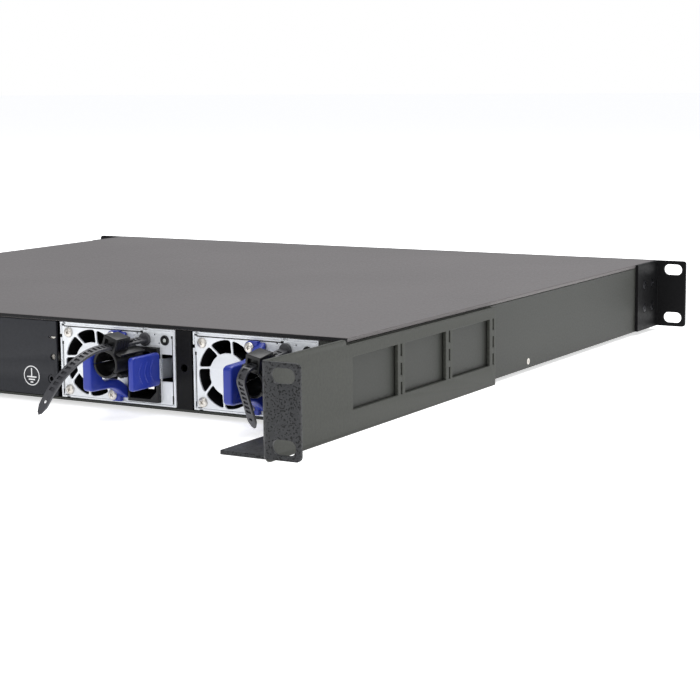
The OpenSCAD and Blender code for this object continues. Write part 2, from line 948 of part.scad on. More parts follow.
// Ratchet box, saddle and fixed upper part of the clamp ring
module supply_clamp(k) {
    outer = clamp_r + clamp_wall;
    slide = 0.35;
    box_v = [clamp_len - 10.5, clamp_len + 1];
    box_top = 5.2;
    saddle_half = 7.2;
    strap_frame(k)
    color(nylon_black)
    translate([0, clamp_v[k], 0])
    difference() {
        union() {
            translate([-4.1, box_v[0], -clamp_drop + clamp_r])
                cube([8.2, box_v[1] - box_v[0], clamp_drop - clamp_r + box_top]);
            translate([-saddle_half, 1, -clamp_drop + outer - 1])
                cube([2 * saddle_half, clamp_len - 2, 1.2]);
            translate([0, 0, -clamp_drop])
                rotate([-90, 0, 0])
                    cylinder(h = clamp_len, r = outer);
        }
        translate([0, -1, -clamp_drop])
            rotate([-90, 0, 0])
                cylinder(h = clamp_len + 3, r = clamp_r);
        translate([-strap_w / 2 - slide, -1, -strap_t / 2 - slide])
            cube([strap_w + 2 * slide, clamp_len + 3, strap_t + 2 * slide]);
        translate([-20, -1, -clamp_drop - 20 - 2.2])
            cube([40, clamp_len + 3, 20]);
    }
}

// Lower part of the ring, which swings open for the cord
module supply_clamp_jaw(k) {
    outer = clamp_r + clamp_wall;
    strap_frame(k)
    color(nylon_black)
    translate([0, clamp_v[k], -clamp_drop])
    difference() {
        union() {
            intersection() {
                rotate([-90, 0, 0])
                    cylinder(h = clamp_len, r = outer);
                translate([-20, -1, -20 - 2.5])
                    cube([40, clamp_len + 2, 20]);
            }
            translate([5, 4, -5.2])
                cube([3.4, clamp_len - 8, 2]);
        }
        translate([0, -1, 0])
            rotate([-90, 0, 0])
                cylinder(h = clamp_len + 2, r = clamp_r);
    }
}

// ---------------------------------------------------------------- supply electronics

// Converter board with its card edge, transformer, capacitors and cooling plates
module supply_board(k) {
    z = [7, 8.6];
    supply(k)
    color(board_green)
    union() {
        slab([2, supply_w - 2], [-supply_d + 2, -34], z);
        slab([10.4, 59.6], [-supply_d - 10, -supply_d + 3], z);
        slab([8, 34], [-110, -76], [8.6, 34]);
        for (i = [0 : 1])
            rod_z(18 + i * 24, -145, [8.6, 32], 9.5);
        for (u = [42, 56])
            slab([u, u + 2], [-120, -66], [8.6, 36]);
    }
}

module psu1_case() { supply_case(0); }
module psu1_faceplate() { supply_faceplate(0); }
module psu1_screws() { supply_screws(0); }
module psu1_handle() { supply_handle(0); }
module psu1_inlet() { supply_inlet(0); }
module psu1_inlet_pins() { supply_inlet_pins(0); }
module psu1_led() { supply_led(0); }
module psu1_fan_frame() { supply_fan_frame(0); }
module psu1_fan_rotor() { supply_fan_rotor(0); }
module psu1_latch_spring() { supply_latch_spring(0); }
module psu1_latch_tab() { supply_latch_tab(0); }
module psu1_strap() { supply_strap(0); }
module psu1_clamp() { supply_clamp(0); }
module psu1_clamp_jaw() { supply_clamp_jaw(0); }
module psu1_board() { supply_board(0); }
module psu2_case() { supply_case(1); }
module psu2_faceplate() { supply_faceplate(1); }
module psu2_screws() { supply_screws(1); }
module psu2_handle() { supply_handle(1); }
module psu2_inlet() { supply_inlet(1); }
module psu2_inlet_pins() { supply_inlet_pins(1); }
module psu2_led() { supply_led(1); }
module psu2_fan_frame() { supply_fan_frame(1); }
module psu2_fan_rotor() { supply_fan_rotor(1); }
module psu2_latch_spring() { supply_latch_spring(1); }
module psu2_latch_tab() { supply_latch_tab(1); }
module psu2_strap() { supply_strap(1); }
module psu2_clamp() { supply_clamp(1); }
module psu2_clamp_jaw() { supply_clamp_jaw(1); }
module psu2_board() { supply_board(1); }

chassis_tray();
psu_cage();
top_cover();
side_screws();
front_panel();
front_ear_left();
front_ear_right();
ear_screws();
rear_plate();
plate_screws();
main_board();
standoffs();
switch_heatsink();
phy_heatsinks();
power_board();
jack_block_left();
jack_block_right();
sfp_cage();
light_pipe();
reset_button();
rear_bracket_left();
rear_bracket_right();
fan_module_1();
fan_module_2();
fan_module_3();
fan_rotor_1();
fan_rotor_2();
fan_rotor_3();
psu1_case();
psu1_faceplate();
psu1_screws();
psu1_handle();
psu1_inlet();
psu1_inlet_pins();
psu1_led();
psu1_fan_frame();
psu1_fan_rotor();
psu1_latch_spring();
psu1_latch_tab();
psu1_strap();
psu1_clamp();
psu1_clamp_jaw();
psu1_board();
psu2_case();
psu2_faceplate();
psu2_screws();
psu2_handle();
psu2_inlet();
psu2_inlet_pins();
psu2_led();
psu2_fan_frame();
psu2_fan_rotor();
psu2_latch_spring();
psu2_latch_tab();
psu2_strap();
psu2_clamp();
psu2_clamp_jaw();
psu2_board();
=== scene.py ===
"""Looks of the rack-mount network switch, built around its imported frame."""

import json
import math

import bmesh
import bpy
from mathutils import Matrix, Vector


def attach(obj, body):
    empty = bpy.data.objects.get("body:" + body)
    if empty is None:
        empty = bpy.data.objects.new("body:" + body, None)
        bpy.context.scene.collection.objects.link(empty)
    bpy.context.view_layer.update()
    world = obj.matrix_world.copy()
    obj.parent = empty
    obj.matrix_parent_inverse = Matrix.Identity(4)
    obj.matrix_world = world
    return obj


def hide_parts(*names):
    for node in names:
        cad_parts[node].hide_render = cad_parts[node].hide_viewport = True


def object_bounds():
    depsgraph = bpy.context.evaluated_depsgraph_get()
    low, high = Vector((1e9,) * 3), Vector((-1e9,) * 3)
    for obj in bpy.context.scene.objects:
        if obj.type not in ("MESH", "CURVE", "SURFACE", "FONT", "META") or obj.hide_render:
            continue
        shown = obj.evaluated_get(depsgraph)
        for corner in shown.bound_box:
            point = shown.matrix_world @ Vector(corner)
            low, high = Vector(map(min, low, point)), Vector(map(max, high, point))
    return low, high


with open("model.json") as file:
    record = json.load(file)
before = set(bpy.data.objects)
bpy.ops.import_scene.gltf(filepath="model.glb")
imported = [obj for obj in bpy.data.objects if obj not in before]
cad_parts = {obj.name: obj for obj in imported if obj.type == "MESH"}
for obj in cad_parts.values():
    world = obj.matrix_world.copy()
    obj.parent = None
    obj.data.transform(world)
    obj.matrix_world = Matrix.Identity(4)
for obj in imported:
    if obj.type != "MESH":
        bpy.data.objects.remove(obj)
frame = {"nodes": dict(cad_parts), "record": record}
CAD_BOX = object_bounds()

MM = 0.001
RECORD = frame["record"]
SLOT = {part["node"]: part["material_slot"] for part in RECORD["subparts"]}
BODY = {n: body for body, nodes in RECORD["behaviour"]["bodies"].items() for n in nodes}
SUPPLIES = (1, 2)
MODULES = (1, 2, 3)


# -------- camera, floor and light

CAMERA_AT = Vector((-0.6496, 1.1403, 0.1441))
CAMERA_AZIMUTH = math.radians(210.22)
CAMERA_ELEVATION = math.radians(8.55)
CAMERA_ROLL = math.radians(-0.539)
CAMERA_LENS = 93.6


def add_camera():
    azimuth, elevation = CAMERA_AZIMUTH, CAMERA_ELEVATION
    right = Vector((math.cos(azimuth), math.sin(azimuth), 0))
    back = Vector((
        math.sin(azimuth) * math.cos(elevation),
        -math.cos(azimuth) * math.cos(elevation),
        math.sin(elevation),
    ))
    up = back.cross(right)
    tilted_right = math.cos(CAMERA_ROLL) * right + math.sin(CAMERA_ROLL) * up
    tilted_up = back.cross(tilted_right)
    turn = Matrix((tilted_right, tilted_up, back)).transposed()
    data = bpy.data.cameras.new("camera")
    data.lens = CAMERA_LENS
    data.sensor_width = 36
    data.clip_start = 0.01
    data.clip_end = 100
    camera = bpy.data.objects.new("camera", data)
    camera.matrix_world = Matrix.Translation(CAMERA_AT) @ turn.to_4x4()
    bpy.context.scene.collection.objects.link(camera)
    bpy.context.scene.camera = camera


def add_floor():
    size = 14.0
    low = CAD_BOX[0].z
    bm = bmesh.new()
    corners = [(-size, -size), (size, -size), (size, size), (-size, size)]
    bm.faces.new([bm.verts.new((x, y, low)) for x, y in corners])
    mesh = bpy.data.meshes.new("floor")
    bm.to_mesh(mesh)
    floor = bpy.data.objects.new("floor", mesh)
    bpy.context.scene.collection.objects.link(floor)
    material, _, _, shader = new_material("floor_paper", rough=0.9)
    shader.inputs["Base Color"].default_value = (0.90, 0.90, 0.90, 1)
    shader.inputs["Specular IOR Level"].default_value = 0.1
    shader.inputs["Emission Color"].default_value = (1, 1, 1, 1)
    shader.inputs["Emission Strength"].default_value = 0.62
    mesh.materials.append(material)


def add_area(name, place, aim, size, power, colour=(1, 1, 1)):
    data = bpy.data.lights.new(name, "AREA")
    data.shape = "RECTANGLE"
    data.size, data.size_y = size
    data.energy = power
    data.color = colour
    lamp = bpy.data.objects.new(name, data)
    lamp.location = place
    lamp.rotation_mode = "QUATERNION"
    lamp.rotation_quaternion = (Vector(aim) - Vector(place)).to_track_quat("-Z", "Y")
    bpy.context.scene.collection.objects.link(lamp)


def add_light():
    world = bpy.data.worlds.new("studio")
    bpy.context.scene.world = world
    world.use_nodes = True
    nodes, links = world.node_tree.nodes, world.node_tree.links
    nodes.clear()
    out = nodes.new("ShaderNodeOutputWorld")
    mix = nodes.new("ShaderNodeMixShader")
    path = nodes.new("ShaderNodeLightPath")
    room = nodes.new("ShaderNodeBackground")
    seen = nodes.new("ShaderNodeBackground")
    room.inputs["Color"].default_value = (0.94, 0.96, 1, 1)
    room.inputs["Strength"].default_value = 0.42
    seen.inputs["Strength"].default_value = 1.0
    seen.inputs["Color"].default_value = (1, 1, 1, 1)
    links.new(path.outputs["Is Camera Ray"], mix.inputs[0])
    links.new(room.outputs[0], mix.inputs[1])
    links.new(seen.outputs[0], mix.inputs[2])
    links.new(mix.outputs[0], out.inputs["Surface"])
    add_area("softbox_above", (-0.3, -0.3, 1.7), (-0.05, 0.3, 0), (2.2, 1.6), 44)
    add_area("softbox_behind", (-0.1, 2.3, 1.1), (-0.15, 0.4, 0), (1.4, 0.8), 9)
    add_area("softbox_side", (-1.1, 0.95, 0.35), (-0.22, 0.4, 0), (0.6, 0.4), 1.6)
    bpy.context.scene.view_settings.view_transform = "Standard"


# -------- materials


def new_material(name, rough=0.5, metal=0.0):
    material = bpy.data.materials.new(name)
    material.use_nodes = True
    nodes, links = material.node_tree.nodes, material.node_tree.links
    shader = nodes["Principled BSDF"]
    shader.inputs["Roughness"].default_value = rough
    shader.inputs["Metallic"].default_value = metal
    return material, nodes, links, shader


def coordinates(nodes, links, stretch=(1, 1, 1)):
    """Object coordinates in metres, stretched by a factor on each axis."""
    place = nodes.new("ShaderNodeTexCoord")
    mapping = nodes.new("ShaderNodeMapping")
    mapping.inputs["Scale"].default_value = stretch
    links.new(place.outputs["Object"], mapping.inputs["Vector"])
    return mapping.outputs["Vector"]


def noise(nodes, links, scale, detail=3.0, stretch=(1, 1, 1), rough=0.5):
    texture = nodes.new("ShaderNodeTexNoise")
    texture.inputs["Scale"].default_value = scale
    texture.inputs["Detail"].default_value = detail
    texture.inputs["Roughness"].default_value = rough
    links.new(coordinates(nodes, links, stretch), texture.inputs["Vector"])
    return texture.outputs["Fac"]


def ramp(nodes, links, source, stops):
    """A colour ramp whose stops are (place, colour)."""
    node = nodes.new("ShaderNodeValToRGB")
    elements = node.color_ramp.elements
    while len(elements) < len(stops):
        elements.new(0.5)
    for element, (place, colour) in zip(elements, stops):
        element.position = place
        element.color = (*colour, 1)
    links.new(source, node.inputs["Fac"])
    return node.outputs["Color"]


def spread(nodes, links, source, low, high):
    """Maps a 0 to 1 value, clamped around the middle of a noise, to low..high."""
    node = nodes.new("ShaderNodeMapRange")
    node.inputs["From Min"].default_value = 0.3
    node.inputs["From Max"].default_value = 0.7
    node.inputs["To Min"].default_value = low
    node.inputs["To Max"].default_value = high
    links.new(source, node.inputs["Value"])
    return node.outputs["Result"]


def add_bump(nodes, links, shader, source, strength, depth_mm):
    bump = nodes.new("ShaderNodeBump")
    bump.inputs["Strength"].default_value = strength
    bump.inputs["Distance"].default_value = depth_mm * MM
    links.new(source, bump.inputs["Height"])
    links.new(bump.outputs["Normal"], shader.inputs["Normal"])
    return bump


def tint(colour, factor):
    return tuple(min(1.0, c * factor) for c in colour)


def multiplied(nodes, links, first, second):
    """The product of two colours."""
    node = nodes.new("ShaderNodeMix")
    node.data_type = "RGBA"
    node.blend_type = "MULTIPLY"
    node.inputs["Factor"].default_value = 1.0
    links.new(first, node.inputs["A"])
    links.new(second, node.inputs["B"])
    return node.outputs["Result"]


def painted(name, colour, rough=0.45, grain=700, depth=0.05, vary=0.12, specks=0.0, gloss=0.25):
    """Powder coat: an even colour with a fine orange-peel texture, and dark pits where specks is set."""
    material, nodes, links, shader = new_material(name)
    fine = noise(nodes, links, grain, 4.0)
    broad = noise(nodes, links, 9, 2.0)
    stops = [(0.3, tint(colour, 1 - vary)), (0.7, tint(colour, 1 + vary))]
    base = ramp(nodes, links, fine, stops)
    patches = ramp(nodes, links, broad, [(0.3, (0.9,) * 3), (0.7, (1.0,) * 3)])
    colour_out = multiplied(nodes, links, base, patches)
    if specks:
        pits = noise(nodes, links, grain * 1.7, 0.5)
        marks = ramp(nodes, links, pits, [(0.56, (1.0,) * 3), (0.64, (1 - specks,) * 3)])
        colour_out = multiplied(nodes, links, colour_out, marks)
    links.new(colour_out, shader.inputs["Base Color"])
    links.new(spread(nodes, links, fine, rough - 0.05, rough + 0.07), shader.inputs["Roughness"])
    shader.inputs["Specular IOR Level"].default_value = gloss
    add_bump(nodes, links, shader, fine, 0.5, depth)
    return material


def brushed(name, colour, rough=0.3, along=(1, 60, 60), metal=1.0, depth=0.01, vary=0.10):
    """Rolled or brushed sheet, with grain drawn out along one axis."""
    material, nodes, links, shader = new_material(name, metal=metal)
    grain = noise(nodes, links, 26, 5.0, along)
    cloud = noise(nodes, links, 60, 3.0)
    base = ramp(nodes, links, grain, [(0.25, tint(colour, 1 - vary)), (0.75, tint(colour, 1 + vary * 0.6))])
    links.new(base, shader.inputs["Base Color"])
    mixed = nodes.new("ShaderNodeMath")
    mixed.operation = "ADD"
    links.new(spread(nodes, links, grain, rough - 0.06, rough + 0.06), mixed.inputs[0])
    links.new(spread(nodes, links, cloud, -0.04, 0.05), mixed.inputs[1])
    links.new(mixed.outputs[0], shader.inputs["Roughness"])
    add_bump(nodes, links, shader, grain, 0.35, depth)
    return material


def moulded(name, colour, rough=0.4, grain=1400, depth=0.012, vary=0.08, coat=0.0, gloss=0.4):
    """Moulded plastic: a faint mottle and a fine skin."""
    material, nodes, links, shader = new_material(name)
    skin = noise(nodes, links, grain, 3.0)
    flow = noise(nodes, links, 45, 2.0)
    base = ramp(nodes, links, flow, [(0.3, tint(colour, 1 - vary)), (0.7, tint(colour, 1 + vary))])
    links.new(base, shader.inputs["Base Color"])
    links.new(spread(nodes, links, flow, rough - 0.04, rough + 0.05), shader.inputs["Roughness"])
    shader.inputs["Coat Weight"].default_value = coat
    shader.inputs["Coat Roughness"].default_value = 0.12
    shader.inputs["Specular IOR Level"].default_value = gloss
    add_bump(nodes, links, shader, skin, 0.4, depth)
    return material


def laminate(name):
    """Green board with copper traces under the mask."""
    material, nodes, links, shader = new_material(name)
    cells = nodes.new("ShaderNodeTexVoronoi")
    cells.distance = "CHEBYCHEV"
    cells.inputs["Scale"].default_value = 240
    links.new(coordinates(nodes, links), cells.inputs["Vector"])
    stops = [(0.25, (0.012, 0.085, 0.040)), (0.32, (0.020, 0.140, 0.065)), (0.5, (0.012, 0.085, 0.040))]
    links.new(ramp(nodes, links, cells.outputs["Distance"], stops), shader.inputs["Base Color"])
    links.new(spread(nodes, links, noise(nodes, links, 300), 0.28, 0.42), shader.inputs["Roughness"])
    add_bump(nodes, links, shader, cells.outputs["Distance"], 0.3, 0.03)
    return material


def clear(name, colour, glow=0.0):
    """Clear moulded light guide with faint flow marks."""
    material, nodes, links, shader = new_material(name)
    flow = noise(nodes, links, 500, 2.0)
    base = ramp(nodes, links, flow, [(0.3, tint(colour, 0.9)), (0.7, colour)])
    links.new(base, shader.inputs["Base Color"])
    links.new(spread(nodes, links, flow, 0.08, 0.16), shader.inputs["Roughness"])
    shader.inputs["Transmission Weight"].default_value = 0.35
    shader.inputs["Coat Weight"].default_value = 0.6
    shader.inputs["Emission Color"].default_value = (*colour, 1)
    shader.inputs["Emission Strength"].default_value = glow
    return material


PAINT = {
    "black_paint": painted("black_powder_coat", (0.008, 0.008, 0.0085), 0.44, 800, 0.03, gloss=0.10),
    "grey_paint": painted("grey_satin_paint", (0.125, 0.115, 0.115), 0.42, 900, 0.012, vary=0.04),
    "bracket_paint": painted(
        "bracket_powder_coat", (0.047, 0.049, 0.042), 0.5, 620, 0.09, vary=0.22, gloss=0.2
    ),
    "plate_paint": painted("slate_powder_coat", (0.024, 0.025, 0.029), 0.44, 900, 0.03, gloss=0.2),
    "zinc_sheet": brushed(
        "zinc_sheet", (0.78, 0.80, 0.82), 0.52, (40, 3, 40), metal=0.25, depth=0.002, vary=0.03
    ),
    "screw_steel": brushed(
        "nickel_screws", (0.66, 0.63, 0.58), 0.34, (30, 30, 30), metal=0.8, vary=0.12
    ),
    "dark_screw": brushed("black_oxide_screws", (0.05, 0.05, 0.055), 0.38, (30, 30, 30), vary=0.2),
    "spring_steel": brushed("spring_steel", (0.78, 0.79, 0.81), 0.16, (60, 4, 60), vary=0.06),
    "blue_plastic": moulded("blue_moulding", (0.017, 0.034, 0.29), 0.30, coat=0.12, gloss=0.3),
    "nylon": moulded("black_nylon", (0.007, 0.007, 0.0075), 0.34, gloss=0.3),
    "port_plastic": moulded("jack_housing", (0.016, 0.016, 0.017), 0.5),
    "cage_metal": brushed("tinned_cage", (0.60, 0.61, 0.62), 0.32, (40, 3, 40)),
    "board": laminate("green_laminate"),
    "heatsink": brushed("extruded_alloy", (0.70, 0.71, 0.72), 0.34, (60, 4, 60)),
    "contact_metal": brushed("nickel_contacts", (0.74, 0.72, 0.68), 0.2, (40, 4, 40)),
    "spacer_brass": brushed("spacer_brass", (0.76, 0.57, 0.25), 0.28, (40, 40, 4)),
    "lens": clear("light_guide", (0.80, 0.84, 0.80), 0.05),
}
TEXTURED = painted(
    "speckled_powder_coat", (0.036, 0.037, 0.039), 0.46, 620, 0.12, vary=0.2, specks=0.85, gloss=0.2
)
SIDE_PAINT = painted("side_powder_coat", (0.040, 0.042, 0.037), 0.46, 900, 0.02, vary=0.06, gloss=0.2)
# A near-black copy of the cover's paint for its rear-facing faces: painted shade, darker than the lit top.
COVER_REAR_SHADE = painted("cover_rear_painted_shade", (0.014, 0.014, 0.015), 0.5, 900, 0.02, gloss=0.15)
GOLD = brushed("gold_contacts", (0.86, 0.64, 0.27), 0.18, (40, 40, 4), vary=0.06)
WHITE_INK = painted("white_ink", (0.78, 0.78, 0.78), 0.5, 900, 0.004, vary=0.03)
# Black nylon for the strap with a base lighter than the other nylon parts: painted sheen for its lit top
# face; its higher specular level is real gloss.
STRAP_NYLON_PAINTED_SHEEN = moulded("strap_nylon_painted_sheen", (0.040, 0.040, 0.045), 0.42, gloss=0.5)
CHIP = moulded("chip_epoxy", (0.018, 0.018, 0.019), 0.55)


# -------- mesh helpers


def place_piece(name, mesh, like, material=None, hides=()):
    """A new piece on the body of a CAD node, in the finish of that node's slot, standing for the nodes in
    hides.
    """
    piece = bpy.data.objects.new(name, mesh)
    bpy.context.scene.collection.objects.link(piece)
    mesh.materials.clear()
    mesh.materials.append(material or PAINT[SLOT[like]])
    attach(piece, BODY[like])
    if hides:
        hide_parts(*hides)
    return piece


def to_mesh(name, bm, smooth=True):
    bmesh.ops.recalc_face_normals(bm, faces=bm.faces)
    for face in bm.faces:
        face.smooth = smooth
    mesh = bpy.data.meshes.new(name)
    bm.to_mesh(mesh)
    bm.free()
    return mesh


def place_flat(name, bm, like, material):
    """A piece with flat faces that replaces nothing."""
    return place_piece(name, to_mesh(name, bm, False), like, material)


def round_edges(piece, width_mm, segments=2, angle=35):
    """Rounds the sharp edges of a piece and keeps its flat faces flat."""
    bevel = piece.modifiers.new("edges", "BEVEL")
    bevel.width = width_mm * MM
    bevel.segments = segments
    bevel.limit_method = "ANGLE"
    bevel.angle_limit = math.radians(angle)
    bevel.use_clamp_overlap = True
    bevel.miter_outer = "MITER_ARC"
    normals = piece.modifiers.new("normals", "WEIGHTED_NORMAL")
    normals.keep_sharp = True


def crease(piece, angle=38):
    """Keeps the edges sharper than an angle crisp."""
    split = piece.modifiers.new("crease", "EDGE_SPLIT")
    split.split_angle = math.radians(angle)
    return piece


def cad_copy(node):
    """The CAD node's mesh, welded and with its flat faces whole."""
    bm = bmesh.new()
    bm.from_mesh(frame["nodes"][node].data)
    bmesh.ops.remove_doubles(bm, verts=bm.verts, dist=0.002 * MM)
    bmesh.ops.dissolve_limit(
        bm, angle_limit=math.radians(0.8), verts=bm.verts, edges=bm.edges, delimit=set()
    )
    return bm


def soften(node, width_mm, segments=2, material=None, angle=35):
    """Replaces a CAD node by a copy of itself with rounded edges."""
    mesh = to_mesh(node + "_rounded", cad_copy(node))
    piece = place_piece(node + "_rounded", mesh, node, material, (node,))
    round_edges(piece, width_mm, segments, angle)
    return piece


def add_box(bm, low, high, turn=None):
    """A box by its corners in metres, turned by an optional matrix."""
    middle = (Vector(low) + Vector(high)) / 2
    size = Vector(high) - Vector(low)
    matrix = Matrix.Translation(middle) @ Matrix.Diagonal((*size, 1))
    if turn is not None:
        matrix = turn @ matrix
    bmesh.ops.create_cube(bm, size=1, matrix=matrix)


def add_block(bm, low, high, turn=None):
    """A box by its corners in millimetres."""
    add_box(bm, Vector(low) * MM, Vector(high) * MM, turn)


def add_lathe(bm, profile, turn, steps=32):
    """Spins a profile of (radius, height) pairs, in millimetres, about the local Z axis."""
    rings = []
    for radius, height in profile:
        if radius < 1e-6:
            rings.append([bm.verts.new(turn @ Vector((0, 0, height * MM)))])
            continue
        ring = []
        for i in range(steps):
            a = 2 * math.pi * i / steps
            point = Vector((radius * math.cos(a), radius * math.sin(a), height)) * MM
            ring.append(bm.verts.new(turn @ point))
        rings.append(ring)
    for lower, upper in zip(rings, rings[1:]):
        for i in range(steps):
            j = (i + 1) % steps
            corners = [lower[i % len(lower)], lower[j % len(lower)]]
            corners += [upper[j % len(upper)], upper[i % len(upper)]]
            unique = list(dict.fromkeys(corners))
            if len(unique) > 2:
                bm.faces.new(unique)


def outline_mesh(name, loops, depth, bevel_mm, axis, segments=2):
    """A sheet from closed outlines, outer first and holes after, between two depths along an axis.

    Outlines and depths are in millimetres: (x, z) for axis Y, (y, z) for axis X and (x, y) for axis Z.
    """
    curve = bpy.data.curves.new(name, "CURVE")
    curve.dimensions = "2D"
    curve.fill_mode = "BOTH"
    bevel = bevel_mm * MM
    near, far = depth[0] * MM, depth[1] * MM
    curve.extrude = (far - near) / 2 - bevel
    curve.bevel_depth = bevel
    curve.bevel_resolution = segments
    curve.offset = -bevel
    for loop in loops:
        spline = curve.splines.new("POLY")
        spline.points.add(len(loop) - 1)
        for point, (a, b) in zip(spline.points, loop):
            point.co = (a * MM, b * MM, 0, 1)
        spline.use_cyclic_u = True
    holder = bpy.data.objects.new(name + "_curve", curve)
    bpy.context.scene.collection.objects.link(holder)
    bpy.context.view_layer.update()
    graph = bpy.context.evaluated_depsgraph_get()
    mesh = bpy.data.meshes.new_from_object(holder.evaluated_get(graph))
    bpy.data.objects.remove(holder)
    bpy.data.curves.remove(curve)
    middle = (near + far) / 2
    turns = {
        "X": Matrix(((0, 0, 1, middle), (1, 0, 0, 0), (0, 1, 0, 0), (0, 0, 0, 1))),
        "Y": Matrix(((1, 0, 0, 0), (0, 0, -1, middle), (0, 1, 0, 0), (0, 0, 0, 1))),
        "Z": Matrix.Translation((0, 0, middle)),
    }
    mesh.transform(turns[axis])
    bm = bmesh.new()
    bm.from_mesh(mesh)
    bmesh.ops.remove_doubles(bm, verts=bm.verts, dist=0.003 * MM)
    bpy.data.meshes.remove(mesh)
    return to_mesh(name, bm, smooth=False)


def circle_loop(x, y, radius, steps=32):
    return [
        (x + radius * math.cos(2 * math.pi * i / steps), y + radius * math.sin(2 * math.pi * i / steps))
        for i in range(steps)
    ]


def corner_curve(p, before, after, reach, steps):
    """A smooth curve that cuts a corner, a reach away from it on both sides."""
    start = p + before.normalized() * reach
    end = p + after.normalized() * reach
    parts = [s / steps for s in range(steps + 1)]
    curve = [start * (1 - t) ** 2 + p * 2 * t * (1 - t) + end * t ** 2 for t in parts]
    return [(q.x, q.y) for q in curve]


def rounded_loop(points, radius, steps=5):
    """A closed outline with each corner replaced by a smooth curve."""
    out = []
    count = len(points)
    for i, corner in enumerate(points):
        p = Vector(corner)
        before = Vector(points[i - 1]) - p
        after = Vector(points[(i + 1) % count]) - p
        reach = min(radius, before.length * 0.49, after.length * 0.49)
        out += corner_curve(p, before, after, reach, steps)
    return out


def rectangle(low, high):
    return [(low[0], low[1]), (high[0], low[1]), (high[0], high[1]), (low[0], high[1])]


def add_mesh(bm, mesh, turn):
    """Adds a moved copy of a mesh to bm."""
    start = len(bm.verts)
    bm.from_mesh(mesh)
    bm.verts.ensure_lookup_table()
    bmesh.ops.transform(bm, matrix=turn, verts=bm.verts[start:])


def facing(point, direction):
    """A matrix at a point whose local Z looks along a direction."""
    return Matrix.Translation(point) @ Vector(direction).to_track_quat("Z", "Y").to_matrix().to_4x4()


# -------- screw heads


def cross_cutter(size_mm, depth_mm):
    """Two crossed wedges that cut a Phillips recess below local Z = 0."""
    bm = bmesh.new()
    for turn in (0, math.pi / 2):
        spin = Matrix.Rotation(turn, 4, "Z")
        half, wide = size_mm / 2 * MM, size_mm * 0.13 * MM
        top, bottom = 0.6 * MM, -depth_mm * MM
        upper = [(-half, -wide, top), (half, -wide, top), (half, wide, top), (-half, wide, top)]
        lower = [(x * 0.35, y * 0.7, bottom) for x, y, _ in upper]
        a = [bm.verts.new(spin @ Vector(p)) for p in lower]
        b = [bm.verts.new(spin @ Vector(p)) for p in upper]
        bm.faces.new(a[::-1])
        bm.faces.new(b)
        for i in range(4):
            j = (i + 1) % 4
            bm.faces.new([a[i], a[j], b[j], b[i]])
    return to_mesh("cross_cutter", bm, smooth=False)


def screw_head_mesh(profile, cross_mm, depth_mm, top_mm):
    """A lathed head with a cross recess, its seat at local Z = 0."""
    bm = bmesh.new()
    add_lathe(bm, profile, Matrix.Identity(4), 40)
    head = bpy.data.objects.new("head", to_mesh("head", bm))
    cutter = bpy.data.objects.new("cutter", cross_cutter(cross_mm, depth_mm))
    cutter.location.z = top_mm * MM
    for item in (head, cutter):
        bpy.context.scene.collection.objects.link(item)
    cut = head.modifiers.new("cross", "BOOLEAN")
    cut.operation = "DIFFERENCE"
    cut.object = cutter
    cut.solver = "EXACT"
    cut.use_self = True
    bpy.context.view_layer.update()
    graph = bpy.context.evaluated_depsgraph_get()
    mesh = bpy.data.meshes.new_from_object(head.evaluated_get(graph))
    for item in (head, cutter):
        bpy.data.objects.remove(item)
    return mesh


PAN_HEAD = screw_head_mesh(
    [(0, 0), (2.55, 0), (2.65, 0.12), (2.62, 0.55), (2.3, 1.0), (1.6, 1.3), (0.8, 1.4), (0, 1.42)],
    3.0, 1.0, 1.42,
)
FLAT_HEAD = screw_head_mesh(
    [(0, -0.9), (1.5, -0.9), (2.75, -0.12), (2.82, -0.02), (2.74, 0.04), (1.4, 0.06), (0, 0.06)],
    3.0, 0.8, 0.06,
)
SMALL_FLAT_HEAD = screw_head_mesh(
    [(0, -0.8), (1.7, -0.8), (1.84, -0.12), (1.8, 0.0), (1.0, 0.02), (0, 0.02)],
    2.4, 0.6, 0.02,
)


def add_screws(name, mesh, seats, direction, like, hides=(), turn=0.5, material=None):
    """A group of screw heads at their seats, each turned a little differently."""
    bm = bmesh.new()
    for i, seat in enumerate(seats):
        spin = Matrix.Rotation(turn + i * 1.3, 4, "Z")
        add_mesh(bm, mesh, facing(seat, direction(seat) if callable(direction) else direction) @ spin)
    mesh_out = bpy.data.meshes.new(name)
    bm.to_mesh(mesh_out)
    bm.free()
    return crease(place_piece(name, mesh_out, like, material, hides))


# -------- places taken from the frame

HALF_HEIGHT = 21.8
BODY_DEPTH = 405.0
SUPPLY_EDGE = (-47.25, -131.2)
SUPPLY_FACE = 405.4
FAN_U, FAN_Z, SCREW_PITCH = 20.3, 20.9, 15.0
ANCHOR_U, ANCHOR_Z = 54.5, 35.6
LED_U = 66.6
MODULE_WIDTH = 54.2
MODULE_PITCH = 54.8
MODULE_X0 = 220 - 3.8 - 3 * MODULE_PITCH + 0.6
PLATE_LEFT = SUPPLY_EDGE[0] + 3.25
PLATE_RIGHT = MODULE_X0 - 0.6


def shift(x, y, z):
    return Matrix.Translation((x * MM, y * MM, z * MM))


BASE = shift(0, 0, -HALF_HEIGHT)
Z_TO_REAR = Matrix.Rotation(-math.pi / 2, 4, "X")


def spot(x, y, z):
    """A point in metres from millimetres, its height from the underside."""
    return Vector((x, y, z - HALF_HEIGHT)) * MM


def supply_turn(k):
    """Takes metres (u, v, height) of supply k to the row frame."""
    flip = Matrix.Diagonal((-1, 1, 1, 1))
    return shift(SUPPLY_EDGE[k - 1], SUPPLY_FACE, -HALF_HEIGHT) @ flip


def module_turn(k):
    """Takes metres (x, y, height) of fan module k to the row frame."""
    return shift(MODULE_X0 + (k - 1) * MODULE_PITCH, BODY_DEPTH, -HALF_HEIGHT)


def add_moved(bm, mesh, turn):
    """Adds a moved copy of a mesh to bm and drops the mesh."""
    add_mesh(bm, mesh, turn)
    bpy.data.meshes.remove(mesh)


